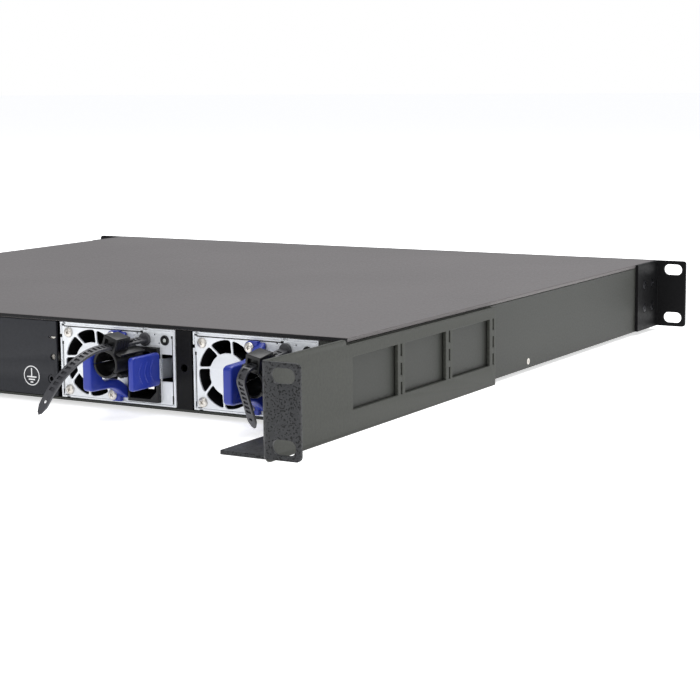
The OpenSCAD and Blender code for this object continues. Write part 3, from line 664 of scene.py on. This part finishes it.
def finish_piece(name, bm, like, material=None, hides=(), split=38):
    """A piece whose edges sharper than the split angle stay crisp."""
    return crease(place_piece(name, to_mesh(name, bm), like, material, hides), split)


# -------- chassis and sheet metal


def cut_across(mesh, places):
    """Cuts a flat mesh square to its X axis at each place, so that it can be bent."""
    bm = bmesh.new()
    bm.from_mesh(mesh)
    for place in places:
        everything = bm.verts[:] + bm.edges[:] + bm.faces[:]
        bmesh.ops.bisect_plane(bm, geom=everything, dist=1e-7, plane_co=(place, 0, 0), plane_no=(1, 0, 0))
    bm.to_mesh(mesh)
    bm.free()


WALL_RUN = 230.2
BEND_MIDDLE = 3.0
BEND_RUN = BEND_MIDDLE * math.pi / 2
FLANGE_END = WALL_RUN + BEND_RUN + 16.9
BRACKET_FRONT = 248.5
WALL_X = -221.4
BEND_X = WALL_X - BEND_MIDDLE
BEND_Y = BRACKET_FRONT + WALL_RUN


def bracket_point(point):
    """Folds a point of the bracket's flat pattern (along, height, across) into place, in millimetres."""
    along, height, across = point
    past = along - WALL_RUN
    if past <= 0:
        return Vector((WALL_X + across, BRACKET_FRONT + along, height))
    if past < BEND_RUN:
        angle = past / BEND_MIDDLE
        radius = BEND_MIDDLE + across
        return Vector((BEND_X + radius * math.cos(angle), BEND_Y + radius * math.sin(angle), height))
    return Vector((BEND_X - (past - BEND_RUN), BEND_Y + BEND_MIDDLE + across, height))


def corner_arc(x, z, radius, start, steps=6):
    """A quarter turn about a centre, from a start angle in degrees."""
    angles = [math.radians(start + 90 * i / steps) for i in range(steps + 1)]
    return [(x + radius * math.cos(a), z + radius * math.sin(a)) for a in angles]


def slot_loop(x, z, length, width, steps=12):
    run, r = (length - width) / 2, width / 2
    right = [math.radians(-90 + 180 * i / steps) for i in range(steps + 1)]
    left = [math.radians(90 + 180 * i / steps) for i in range(steps + 1)]
    out = [(x + run + r * math.cos(a), z + r * math.sin(a)) for a in right]
    return out + [(x - run + r * math.cos(a), z + r * math.sin(a)) for a in left]


def build_bracket(side):
    """Bracket folded from one flat pattern, with its windows, rack slots and lower shelf."""
    like = f"rear_bracket_{side}"
    turn = BASE
    if side == "left":
        turn = turn @ Matrix.Diagonal((-1, 1, 1, 1))
    outer = [(0, -2.4)] + corner_arc(WALL_RUN - 2, -0.4, 2, -90)[:-1] + [(WALL_RUN, 0)]
    outer += corner_arc(FLANGE_END - 2.5, 2.5, 2.5, -90) + corner_arc(FLANGE_END - 2.5, 41.1, 2.5, 0)
    outer += corner_arc(163.5, 41.6, 2, 90) + [(161.5, 40.6), (0, 40.6)]
    loops = [outer]
    for i in range(3):
        loops.append(rectangle((7.3 + i * 52, 9.2), (51.8 + i * 52, 34.6)))
        for j in range(3):
            low = (2 + i * 52.4, 9.2 + j * 9.6)
            loops.append(rectangle(low, (low[0] + 1.6, low[1] + 6.2)))
    slot_at = WALL_RUN + BEND_RUN + 8.15
    loops += [slot_loop(slot_at, 21.8 + s * 15.875, 12.5, 7) for s in (-1, 1)]
    mesh = outline_mesh(like + "_sheet", loops, (-1, 1), 0.3, "Z")
    bend = [(WALL_RUN + BEND_RUN * i / 10) * MM for i in range(11)]
    cut_across(mesh, bend)
    for vertex in mesh.vertices:
        vertex.co = bracket_point(vertex.co / MM) * MM
    bm = bmesh.new()
    add_moved(bm, mesh, turn)
    shelf = [(-222.3, 248.6), (-192.4, 248.6), (-192.4, 473.6), (-222.3, 473.6)]
    shelf = rounded_loop(shelf, 1.2, 4)
    add_moved(bm, outline_mesh("shelf", [shelf], (-2.4, -0.4), 0.3, "Z"), turn)
    piece = finish_piece(like + "_sheet", bm, like, None, (like,))
    piece.data.materials.append(TEXTURED)
    for face in piece.data.polygons:
        middle = face.center / MM
        if middle.y > 480 or (middle.z < -22 and abs(middle.x) < 219):
            face.material_index = 1


def front_openings():
    """The openings of the front panel, in millimetres."""
    loops = []
    for x in (-198, -104):
        loops.append(rounded_loop(rectangle((x - 0.2, 8.6), (x + 86.1, 34.1)), 0.5, 3))
    loops.append(rounded_loop(rectangle((5.8, 8.6), (65.4, 20.0)), 0.5, 3))
    for z in (12, 18, 24, 30):
        loops.append(circle_loop(76, z, 1.3, 20))
    loops.append(circle_loop(86, 12, 1.5, 24))
    loops.append(rounded_loop(rectangle((82, 20), (90, 23.2)), 1.2, 4))
    for i in range(16):
        for row in (0, 1):
            low = (106 + i * 6.6, 8 + row * 15)
            loops.append(rounded_loop(rectangle(low, (low[0] + 2.4, low[1] + 12)), 1.15, 5))
    return loops


def build_front_panel():
    outer = rounded_loop(rectangle((-220, 0), (220, 43.6)), 0.6, 3)
    mesh = outline_mesh("front_panel_bezel", [outer] + front_openings(), (-2, 0), 0.25, "Y")
    mesh.transform(BASE)
    crease(place_piece("front_panel_bezel", mesh, "front_panel", None, ("front_panel",)))


def earth_symbol():
    """A generic earth mark: one upright and three bars of falling length, inside a ring."""
    bm = bmesh.new()
    cx, cz, y = -26.6, 11.2, BODY_DEPTH + 0.02
    bars = [((-0.35, -0.4), (0.35, 4.0)), ((-3.2, -1.0), (3.2, -0.3))]
    bars += [((-2.1, -2.4), (2.1, -1.7)), ((-0.9, -3.8), (0.9, -3.1))]
    for low, high in bars:
        add_block(bm, (cx + low[0], y - 0.05, cz + low[1]), (cx + high[0], y, cz + high[1]), BASE)
    circles = [circle_loop(cx, cz, 5.3, 48), circle_loop(cx, cz, 4.8, 48)]
    ring = outline_mesh("ring", circles, (y - 0.05, y), 0.005, "Y", 1)
    add_moved(bm, ring, BASE)
    return bm


def build_rear_plate():
    outer = rounded_loop(rectangle((PLATE_LEFT, 1.4), (PLATE_RIGHT, 41.2)), 0.6, 3)
    holes = [circle_loop(PLATE_LEFT + 2.8, 22.1, 1.65, 24)]
    holes += [circle_loop(x, 10.4, 2.25, 32) for x in (PLATE_LEFT + 4.3, PLATE_RIGHT - 4.3)]
    chord = [math.radians(208 + 124 * i / 12) for i in range(13)]
    holes.append([(PLATE_LEFT + 3 + 3.6 * math.cos(a), 34.9 + 3.6 * math.sin(a)) for a in chord])
    mesh = outline_mesh("rear_plate_sheet", [outer] + holes, (BODY_DEPTH - 1.6, BODY_DEPTH), 0.3, "Y")
    bm = bmesh.new()
    add_moved(bm, mesh, BASE)
    finish_piece("rear_plate_sheet", bm, "rear_plate", None, ("rear_plate",))
    nut = facing(spot(PLATE_LEFT + 2.8, BODY_DEPTH - 1.6, 22.1), (0, -1, 0))
    bm = bmesh.new()
    body = [(1.65, -0.9), (1.66, 0), (2.6, 0), (2.7, 0.2), (2.7, 3.6), (2.4, 4.0), (1.65, 4.0)]
    add_lathe(bm, body, nut, 24)
    for i in range(7):
        add_lathe(bm, [(1.64, 0.3 + i * 0.55), (1.35, 0.55 + i * 0.55), (1.64, 0.8 + i * 0.55)], nut, 20)
    sill = (PLATE_LEFT + 0.2, BODY_DEPTH - 1.5, 31.0)
    add_block(bm, sill, (PLATE_LEFT + 6.4, BODY_DEPTH - 1.0, 33.0), BASE)
    finish_piece("rear_plate_nut", bm, "rear_plate", PAINT["screw_steel"])
    place_flat("rear_plate_mark", earth_symbol(), "rear_plate", WHITE_INK)
    sockets = bmesh.new()
    for x in (PLATE_LEFT + 4.3, PLATE_RIGHT - 4.3):
        turn = facing(spot(x, BODY_DEPTH - 0.4, 10.4), (0, 1, 0))
        add_lathe(sockets, [(0, -4.6), (2.2, -4.6), (2.2, -0.25), (1.95, 0), (1.25, 0)], turn, 32)
        add_lathe(sockets, [(1.25, 0), (1.15, -0.15), (1.15, -1.6), (0, -1.75)], turn, 6)
    finish_piece("plate_socket_screws", sockets, "plate_screws", None, ("plate_screws",), 30)


def outward(seat):
    return (math.copysign(1, seat.x), 0, 0)


def build_chassis():
    cover = soften("top_cover", 0.5, 3)
    # Faces of the cover that look to the rear take the near-black copy: painted shade.
    cover.data.materials.append(COVER_REAR_SHADE)
    for face in cover.data.polygons:
        if face.normal.y > 0.8:
            face.material_index = 1
    build_front_panel()
    build_rear_plate()
    for side in ("left", "right"):
        soften(f"front_ear_{side}", 0.35, 2)
        build_bracket(side)
    ear_seats = [
        spot(side * 222, y, z)
        for side in (-1, 1) for y in (9, 22.6) for z in (14.5, 29.5)
    ]
    add_screws("ear_flat_screws", FLAT_HEAD, ear_seats, outward,
               "ear_screws", ("ear_screws",), 0.4, PAINT["dark_screw"])
    side_seats = [
        spot(side * 219.95, y, 3.7)
        for side in (-1, 1) for y in (200, BODY_DEPTH - 18)
    ]
    add_screws("side_flush_screws", SMALL_FLAT_HEAD, side_seats, outward,
               "side_screws", ("side_screws",), 0.3, PAINT["screw_steel"])


# -------- front ports


def jack_opening(x, low, flip):
    """The stepped opening of one jack, keyed at its top or bottom."""
    points = [(x, low), (x + 12.0, low), (x + 12.0, low + 7.4), (x + 9.2, low + 7.4), (x + 9.2, low + 8.6),
              (x + 7.8, low + 8.6), (x + 7.8, low + 9.8), (x + 4.2, low + 9.8), (x + 4.2, low + 8.6),
              (x + 2.8, low + 8.6), (x + 2.8, low + 7.4), (x, low + 7.4)]
    if flip:
        points = [(a, 2 * low + 9.8 - b) for a, b in points][::-1]
    return points


def build_ports():
    for side, x0 in (("left", -198), ("right", -104)):
        like = f"jack_block_{side}"
        top = 8.8 + 25.1
        loops = [rounded_loop(rectangle((x0, 8.8), (x0 + 85.9, top)), 0.4, 3)]
        for i in range(6):
            for row in (0, 1):
                low = 8.8 + 1.8 + row * 11.7
                loops.append(jack_opening(x0 + 1.9 + i * 14 + 0.05, low, row == 0))
        mesh = outline_mesh(like + "_face", loops, (-1.85, -1.42), 0.1, "Y")
        mesh.transform(BASE)
        place_piece(like + "_face", mesh, like)
        wires = bmesh.new()
        for i in range(6):
            for row in (0, 1):
                low = 8.8 + 1.7 + row * 11.7
                start, tip = (low + 9.4, low + 5.2) if row == 0 else (low + 0.6, low + 4.8)
                for n in range(8):
                    x = x0 + 1.9 + i * 14 + 2.5 + n * 1.02
                    near, far = spot(x, 3, start), spot(x, 12.6, tip)
                    half = Vector((0.17 * MM, 0.17 * MM, (far - near).length / 2))
                    add_box(wires, -half, half, facing((near + far) / 2, far - near))
        place_flat(like + "_contacts", wires, like, GOLD)

    fingers = bmesh.new()
    for i in range(4):
        x = 6 + i * 14.6 + 0.8
        for low, high in ((9.62, 9.85), (18.35, 18.58)):
            for n in range(3):
                left = x + 1.6 + n * 3.9
                add_block(fingers, (left, -1.5, low), (left + 2.4, 5.5, high), BASE)
    place_flat("sfp_fingers", fingers, "sfp_cage", PAINT["contact_metal"])
    pegs = bmesh.new()
    for z in (12, 18, 24, 30):
        turn = facing(spot(76, -2, z), (0, -1, 0))
        add_lathe(pegs, [(1.2, -7), (1.2, -0.1), (1.05, 0.1), (0.6, 0.18), (0, 0.2)], turn, 24)
    add_block(pegs, (74.4, 4, 10), (77.6, 7, 32), BASE)
    finish_piece("light_pegs", pegs, "light_pipe", None, ("light_pipe",))
    button = bmesh.new()
    turn = facing(spot(86, -3, 12), (0, -1, 0))
    profile = [(0, -11), (1.4, -11), (1.4, -5.4), (2.4, -5.4), (2.4, -4.2),
               (1.4, -4.2), (1.4, -0.3), (1.15, 0), (0.8, -0.12), (0, -0.2)]
    add_lathe(button, profile, turn, 28)
    finish_piece("reset_cap", button, "reset_button", None, ("reset_button",))


# -------- fans


def grille_loops(cx, cz, inner, outer, count, start, swirl, spoke):
    """Window outlines between two radii; each spoke leans by the swirl angle from hub to rim."""
    loops = []
    for i in range(count):
        a0 = start + i * 360 / count
        points = []
        for radius, lean in ((inner, -swirl), (outer, 0)):
            gap = math.degrees(spoke / 2 / radius)
            low = a0 + lean + gap
            high = a0 + 360 / count + lean - gap
            arc = [math.radians(low + (high - low) * s / 6) for s in range(7)]
            ring = [(cx + radius * math.cos(a), cz + radius * math.sin(a)) for a in arc]
            points += ring if radius == outer else ring[::-1]
        loops.append(soft_corners(points, 1.6))
    return loops


def soft_corners(points, radius):
    """Rounds only the corners of an outline that turn by more than 40 degrees."""
    out = []
    count = len(points)
    for i, corner in enumerate(points):
        p = Vector(corner)
        before = Vector(points[i - 1]) - p
        after = Vector(points[(i + 1) % count]) - p
        if math.degrees(math.pi - before.angle(after)) < 40:
            out.append((p.x, p.y))
            continue
        reach = min(radius, before.length * 0.9, after.length * 0.9)
        out += corner_curve(p, before, after, reach, 5)
    return out


def build_rotor(name, like, turn, cx, cz, back, tip):
    """Cup with rounded rim and seven curved blades, turning inside a bore."""
    bm = bmesh.new()
    axis = turn @ shift(cx, back + 5, cz) @ Z_TO_REAR
    cup = [(8.2, 0.1), (9.9, 0.1), (10.0, 0.4), (10.0, 19.4), (9.4, 20.3), (8.2, 20.6), (0, 20.6)]
    add_lathe(bm, cup, axis, 48)
    add_lathe(bm, [(8.2, 0.1), (8.2, 18.8), (1.5, 18.8), (1.5, 1.2), (0, 1.2)], axis, 40)
    for blade in range(7):
        rows = []
        for r in range(6):
            radius = 9.6 + (tip - 9.6) * r / 5
            row = []
            for s in range(9):
                t = s / 8
                sweep = 0.50 * (t - 0.5) + 0.16 * math.sin(math.pi * t) + 0.10 * r / 5
                angle = blade * 2 * math.pi / 7 + sweep
                point = (radius * math.cos(angle), radius * math.sin(angle), 2.0 + 16.6 * t)
                row.append(Vector(point) * MM)
            rows.append(row)
        for side in (-1, 1):
            grid = []
            for row in rows:
                lifted = []
                for s, point in enumerate(row):
                    thick = (0.55 * math.sin(math.pi * (0.12 + 0.8 * s / 8))) * MM
                    around = Vector((-point.y, point.x, 0)).normalized()
                    lifted.append(bm.verts.new(axis @ (point + around * thick * side)))
                grid.append(lifted)
            for lower, upper in zip(grid, grid[1:]):
                for s in range(8):
                    bm.faces.new([lower[s], lower[s + 1], upper[s + 1], upper[s]])
    bmesh.ops.remove_doubles(bm, verts=bm.verts, dist=0.0005 * MM)
    finish_piece(name, bm, like, None, (like,), 50)


def fan_frame_mesh(name, cx, cz, half, bore, y):
    outer = rounded_loop(rectangle((cx - half, cz - half), (cx + half, cz + half)), 3, 5)
    return outline_mesh(name, [outer, circle_loop(cx, cz, bore, 64)], y, 0.35, "Y")


def add_stator(bm, turn, cx, cz, back, bore):
    """Hub plate with a paper-smooth back, four arms and the motor boss."""
    axis = turn @ shift(cx, back, cz) @ Z_TO_REAR
    hub = [(0, 0), (9.0, 0), (9.5, 0.4), (9.5, 3), (7.6, 3), (7.6, 20), (1.6, 20), (1.6, 4)]
    add_lathe(bm, hub, axis, 40)
    for a in (45, 135, 225, 315):
        spin = turn @ shift(cx, back, cz) @ Matrix.Rotation(math.radians(a), 4, "Y")
        add_block(bm, (8, 0.1, -1), (bore + 0.9, 2.4, 1), spin)


def build_fan_module(k):
    like = f"fan_module_{k}"
    turn = module_turn(k)
    cx, cz = 23.4, 21.4
    plate = [rounded_loop(rectangle((0, 1.8), (MODULE_WIDTH, 41.2)), 0.7, 4)]
    plate += grille_loops(cx, cz, 10.7, 17.8, 8, 37.5, 8, 1.1)
    bm = bmesh.new()
    add_moved(bm, outline_mesh("plate", plate, (-1.6, 0), 0.28, "Y"), turn)
    add_moved(bm, fan_frame_mesh("frame", cx, cz, 19.2, 17.8, (-30.6, -1.62)), turn)
    add_stator(bm, turn, cx, cz, -30.6, 17.8)
    tab = rounded_loop([(-1, 13.5), (14, 13.5), (14, 29.5), (-1, 29.5)], 4, 8)
    add_moved(bm, outline_mesh("tab", [tab], (MODULE_WIDTH - 6, MODULE_WIDTH - 4.4), 0.5, "X", 3), turn)
    add_block(bm, (MODULE_WIDTH - 9, -30, 6), (MODULE_WIDTH - 2, -1.7, 36), turn)
    for i in range(5):
        low = (MODULE_WIDTH - 6.15, 6.2 + i * 1.5, 16)
        add_block(bm, low, (low[0] + 1.9, low[1] + 0.6, 27), turn)
    finish_piece(like + "_body", bm, like, PAINT["black_paint"], (like,))
    seats = [turn @ (Vector((x, -0.3, z)) * MM) for z in (6.4, 36.4) for x in (6, 41)]
    add_screws(like + "_screws", SMALL_FLAT_HEAD, seats, (0, 1, 0), like, (), 0.2 + k, PAINT["dark_screw"])
    build_rotor(f"fan_rotor_{k}_blades", f"fan_rotor_{k}", turn, cx, cz, -30.6, 17.0)


# -------- power supplies


def build_faceplate(k):
    like = f"psu{k}_faceplate"
    loops = [rounded_loop(rectangle((0.9, 2.7), (71.9, 40.3)), 0.8, 4)]
    loops += grille_loops(FAN_U, FAN_Z, 10.7, 17.3, 8, 37.5, 8, 1.1)
    loops.append(rounded_loop(rectangle((44.1, 3.4), (63.3, 31.6)), 0.4, 3))
    loops.append(circle_loop(ANCHOR_U, ANCHOR_Z, 2.3, 28))
    loops.append(circle_loop(LED_U, ANCHOR_Z, 2.4, 28))
    loops.append(rounded_loop(rectangle((64.1, 14.6), (70.8, 28.4)), 0.4, 3))
    for u, z in ((60.2, 38.2), (49.4, 38.4), (62.8, 34.0)):
        loops.append(circle_loop(u, z, 0.45, 12))
    mesh = outline_mesh(like + "_sheet", loops, (-1.2, -0.2), 0.18, "Y")
    bm = bmesh.new()
    add_moved(bm, mesh, supply_turn(k))
    finish_piece(like + "_sheet", bm, like, None, (like,))
    # Thin black strips laid on the face along the rim and the sides: painted shadow standing for the seams
    # between the faceplate and its case.
    seam_shade = bmesh.new()
    shade_strips = [((2.2, 38.8), (52.6, 39.4)), ((1.3, 5.0), (1.8, 30.0)), ((70.9, 5.0), (71.4, 37.6)),
            ((1.0, 39.2), (2.6, 40.1)), ((51.6, 38.6), (53.2, 39.8)), ((70.4, 36.6), (71.5, 38.0)),
            ((2.2, 2.9), (4.6, 3.3)), ((1.0, 3.4), (1.7, 6.0)), ((70.6, 3.2), (71.5, 7.6)),
            ((1.0, 29.6), (2.0, 31.2))]
    for low, high in shade_strips:
        add_block(seam_shade, (low[0], -0.24, low[1]), (high[0], -0.17, high[1]), supply_turn(k))
    place_flat(like + "_seam_shade", seam_shade, like, PAINT["nylon"])


def handle_loops():
    """Side outline of the pull handle and its opening, in v and height."""
    middle = 21.5
    outer = [(-0.2, 17.6), (3, 15.6), (9.5, 11.2), (14, 10), (29, 9.6), (31, 8.4)]
    inner = [(-0.2, 11.0), (2, 9.6), (7, 6.4), (12, 5.4), (19, 5.2), (21, 3.6)]
    path = [(v, -z) for v, z in outer] + outer[::-1] + inner + [(v, -z) for v, z in inner[::-1]]
    return [[(v, z + middle) for v, z in rounded_loop(path, 2.0, 5)]]


def build_handle(k):
    like = f"psu{k}_handle"
    turn = supply_turn(k)
    bm = bmesh.new()
    add_moved(bm, outline_mesh("handle", handle_loops(), (38.2, 43.4), 1.25, "X", 5), turn)
    for side in (-1, 1):
        cz = FAN_Z + side * SCREW_PITCH
        u0 = FAN_U + SCREW_PITCH
        foot = [(u0 + 4.6, cz - 3.2), (u0 + 4.6, cz + 3.2)]
        foot += [(u0 + 3.2 * math.cos(a), cz + 3.2 * math.sin(a)) for a in
                 (math.radians(90 + i * 15) for i in range(13))]
        loops = [foot, circle_loop(u0, cz, 1.6, 24)]
        add_moved(bm, outline_mesh("foot", loops, (-0.18, 2.8), 0.5, "Y", 3), turn)
    finish_piece(like + "_moulding", bm, like, None, (like,), 60)


def build_latch(k):
    turn = supply_turn(k)
    tab = f"psu{k}_latch_tab"
    bm = bmesh.new()
    side = rounded_loop([(3.4, 13.2), (26.4, 13.2), (26.4, 30), (3.4, 30)], 2.0, 6)
    add_moved(bm, outline_mesh("tab", [side], (62.9, 66.1), 1.1, "X", 5), turn)
    for i in range(3):
        v0 = 9.6 + i * 4.6
        points, width = [], 0.42
        for s in range(13):
            t = s / 12
            lean = 2.4 * math.sin(math.pi * t)
            points.append((v0 + lean, 16.2 + 10.6 * t))
        for p, q in zip(points, points[1:]):
            a = Vector((66.05, p[0], p[1])) * MM
            b = Vector((66.05, q[0], q[1])) * MM
            run = b - a
            across = Vector((0, -run.z, run.y)).normalized() * width * MM
            lift = Vector((0.32 * MM, 0, 0))
            ring = [turn @ c for c in (a - across, a + lift, a + across, b + across, b + lift, b - across)]
            v = [bm.verts.new(c) for c in ring]
            bm.faces.new([v[0], v[1], v[4], v[5]])
            bm.faces.new([v[1], v[2], v[3], v[4]])
    bmesh.ops.remove_doubles(bm, verts=bm.verts, dist=0.01 * MM)
    finish_piece(tab + "_moulding", bm, tab, None, (tab,), 60)
    soften(f"psu{k}_latch_spring", 0.12, 2, angle=50)


def build_supply(k):
    turn = supply_turn(k)
    build_faceplate(k)
    build_handle(k)
    build_latch(k)
    soften(f"psu{k}_inlet", 0.35, 3)
    soften(f"psu{k}_inlet_pins", 0.3, 2)
    seats = []
    for u in (-1, 1):
        for z in (-1, 1):
            proud = -0.2 if u < 0 else 2.8
            seats.append(turn @ (Vector((FAN_U + u * SCREW_PITCH, proud, FAN_Z + z * SCREW_PITCH)) * MM))
    screws = f"psu{k}_screws"
    add_screws(f"psu{k}_pan_screws", PAN_HEAD, seats, (0, 1, 0), screws, (screws,), 0.35 + k)
    led = turn @ shift(LED_U, -0.2, ANCHOR_Z) @ Z_TO_REAR
    ring = bmesh.new()
    rim = [(1.0, 0.1), (1.1, 0.5), (2.1, 0.7), (2.5, 0.5), (2.6, 0.0), (2.3, 0), (2.3, -6.8), (1.0, -6.8)]
    add_lathe(ring, rim, led, 36)
    finish_piece(f"psu{k}_led_ring", ring, f"psu{k}_led", PAINT["nylon"], (f"psu{k}_led",))
    dome = bmesh.new()
    add_lathe(dome, [(1.0, -6.8), (1.0, 0.2), (0.85, 0.5), (0.5, 0.64), (0, 0.68)], led, 32)
    finish_piece(f"psu{k}_led_dome", dome, f"psu{k}_led", None)
    bm = bmesh.new()
    add_moved(bm, fan_frame_mesh("frame", FAN_U, FAN_Z, 18, 17.2, (-29.4, -1.2)), turn)
    add_stator(bm, turn, FAN_U, FAN_Z, -29.4, 17.2)
    finish_piece(f"psu{k}_fan_housing", bm, f"psu{k}_fan_frame", None, (f"psu{k}_fan_frame",))
    build_rotor(f"psu{k}_fan_blades", f"psu{k}_fan_rotor", turn, FAN_U, FAN_Z, -29.4, 16.4)
    build_strap(k)
    build_clamp(k)


# -------- cord retainers

STRAP_LENGTH = (87.0, 73.0)
STRAP_START = 0.4
STRAP_ROLL = (18, 12)
STRAP_DROOP = (0, 8)
STRAP_RUN = (36.0, 32.0)
STRAP_RADIUS = (38.0, 5.0)
STRAP_BEND = (64, 118)
CLAMP_V = (7.5, 6.0)


def strap_turn(k):
    """Takes metres along (x, v, w) of strap k to the row frame."""
    roll = Matrix.Rotation(math.radians(STRAP_ROLL[k - 1]), 4, "Y")
    droop = Matrix.Rotation(math.radians(-STRAP_DROOP[k - 1]), 4, "X")
    return supply_turn(k) @ shift(ANCHOR_U, 0, ANCHOR_Z) @ roll @ droop


def strap_point(k, along, x, across):
    """A point of the strap from its distance along, in millimetres."""
    run, radius = STRAP_RUN[k - 1], STRAP_RADIUS[k - 1]
    bend = math.radians(STRAP_BEND[k - 1])
    past = along - run
    if past <= 0:
        return Vector((x, along, across))
    angle = min(past / radius, bend)
    tail = max(0.0, past - radius * bend)
    v = run + (radius + across) * math.sin(angle) + tail * math.cos(angle)
    w = (radius + across) * math.cos(angle) - radius - tail * math.sin(angle)
    return Vector((x, v, w))


def build_strap(k):
    """Ladder strap: two rails with rungs between them and a solid pointed tip."""
    like = f"psu{k}_strap"
    half = 2.35
    tip = STRAP_LENGTH[k - 1] - 0.1
    side = [STRAP_START + i * 1.6 for i in range(int((tip - 6) / 1.6))]
    point = [(tip - 4.6, -half), (tip - 1.2, -1.3), (tip, 0), (tip - 1.2, 1.3), (tip - 4.6, half)]
    outer = [(s, -half) for s in side] + point
    outer += [(s, half) for s in reversed(side)]
    loops = [outer]
    place = 5.0
    while place < tip - 12:
        loops.append([(place, -1.25), (place + 1.9, -1.25), (place + 1.9, 1.25), (place, 1.25)])
        place += 3.2
    loops.append(circle_loop(tip - 7, 0, 0.9, 16))
    mesh = outline_mesh("strap", loops, (-0.7, 0.7), 0.16, "Z", 1)
    first = int(STRAP_RUN[k - 1])
    cut_across(mesh, [(first + i * 0.8) * MM for i in range(int((tip - first) / 0.8))])
    web = outline_mesh("web", [rectangle((4, -1.4), (tip - 10, 1.4))], (-0.45, 0), 0.05, "Z", 1)
    cut_across(web, [(first + i * 0.8) * MM for i in range(int((tip - 10 - first) / 0.8))])
    bm = bmesh.new()
    for flat in (mesh, web):
        for vertex in flat.vertices:
            along, x, across = vertex.co.x / MM, vertex.co.y / MM, vertex.co.z / MM
            thin = 1 - 0.7 * max(0.0, min(1.0, (along - tip + 6) / 6))
            vertex.co = strap_point(k, along, x, across * thin) * MM
        add_moved(bm, flat, strap_turn(k))
    foot = supply_turn(k) @ shift(ANCHOR_U, -0.2, ANCHOR_Z) @ Z_TO_REAR
    plug = [(0, -4.8), (1.4, -4.8), (2.2, -3.4), (1.9, -0.9), (2.0, 0), (3.2, 0),
            (3.4, 0.25), (3.4, 1.1), (3.0, 1.6), (1.4, 1.8), (0, 1.8)]
    add_lathe(bm, plug, foot, 40)
    # The strap takes the lighter nylon, whose lighter base is painted sheen.
    finish_piece(like + "_ladder", bm, like, STRAP_NYLON_PAINTED_SHEEN, (like,))


def ring_profile(start, stop, inner, outer, steps):
    """Part of a ring between two angles in degrees, in x and w."""
    angles = [math.radians(start + (stop - start) * i / steps) for i in range(steps + 1)]
    out = [(outer * math.cos(a), outer * math.sin(a)) for a in angles]
    return out + [(inner * math.cos(a), inner * math.sin(a)) for a in reversed(angles)]


def build_clamp(k):
    """Upper clamp with its ratchet box and saddle, and the jaw that swings below it."""
    drop, length, inner, outer = 9.3, 22.0, 6.0, 7.3
    turn = strap_turn(k) @ shift(0, CLAMP_V[k - 1], 0)
    like = f"psu{k}_clamp"
    bm = bmesh.new()
    ring = turn @ shift(0, 0, -drop)
    start = math.degrees(math.asin(-2.2 / 6.65))
    upper = ring_profile(start, 180 - start, inner, outer, 30)
    add_moved(bm, outline_mesh("upper", [upper], (0.02, length - 0.02), 0.25, "Y", 2), ring)
    saddle = rounded_loop([(-7.2, -3.0), (7.2, -3.0), (7.2, -1.8), (-7.2, -1.8)], 0.4, 2)
    add_moved(bm, outline_mesh("saddle", [saddle], (1, length - 1), 0.2, "Y", 2), turn)
    box = rounded_loop([(-4.1, -3.3), (4.1, -3.3), (4.1, 5.2), (-4.1, 5.2)], 0.6, 3)
    slot = [(-2.75, -1.05), (2.75, -1.05), (2.75, 3.4), (-2.75, 3.4)]
    add_moved(bm, outline_mesh("box", [box, slot], (11.6, 22.9), 0.3, "Y", 2), turn)
    add_block(bm, (-2.7, 12.2, 1.0), (2.7, 19.6, 3.5), turn)
    add_block(bm, (-1.6, 5.2, 1.1), (1.6, 11.7, 2.0), turn)
    for i in range(4):
        add_block(bm, (-4.3, 13.2 + i * 2.3, -0.4), (4.3, 14.2 + i * 2.3, 4.2), turn)
    finish_piece(like + "_moulding", bm, like, None, (like,))

    like = f"psu{k}_clamp_jaw"
    bm = bmesh.new()
    low = math.degrees(math.asin(-2.5 / 6.65))
    lower = ring_profile(low, -180 - low, inner, outer, 30)
    add_moved(bm, outline_mesh("lower", [lower], (0.02, length - 0.02), 0.25, "Y", 2), ring)
    add_block(bm, (5.0, 4.2, -5.1), (8.3, length - 4.2, -3.3), ring)
    for i in range(5):
        add_block(bm, (7.0, 5.0 + i * 2.6, -5.2), (8.4, 6.2 + i * 2.6, -3.2), ring)
    finish_piece(like + "_moulding", bm, like, None, (like,))


# -------- boards


def build_chips():
    """Black packages standing over the chip blocks of the switch board."""
    bm = bmesh.new()
    blocks = [((30, 110), (75, 155)), ((110, 120), (140, 150))]
    for x in (-198, -104):
        blocks += [((x + 12 + i * 38, 40), (x + 36 + i * 38, 64)) for i in (0, 1)]
    blocks += [((-20 + i * 16, 230), (-10 + i * 16, 262)) for i in range(4)]
    for low, high in blocks:
        add_block(bm, (low[0] - 0.1, low[1] - 0.1, 8.85), (high[0] + 0.1, high[1] + 0.1, 11.75), BASE)
    place_flat("board_chips", bm, "main_board", CHIP)


build_chassis()
build_ports()
build_chips()
for number in MODULES:
    build_fan_module(number)
for number in SUPPLIES:
    build_supply(number)

for node, item in frame["nodes"].items():
    item.data.materials.clear()
    item.data.materials.append(PAINT[SLOT[node]])
frame["nodes"]["chassis_tray"].data.materials[0] = SIDE_PAINT
frame["nodes"]["psu_cage"].data.materials[0] = PAINT["black_paint"]

add_camera()
add_floor()
add_light()
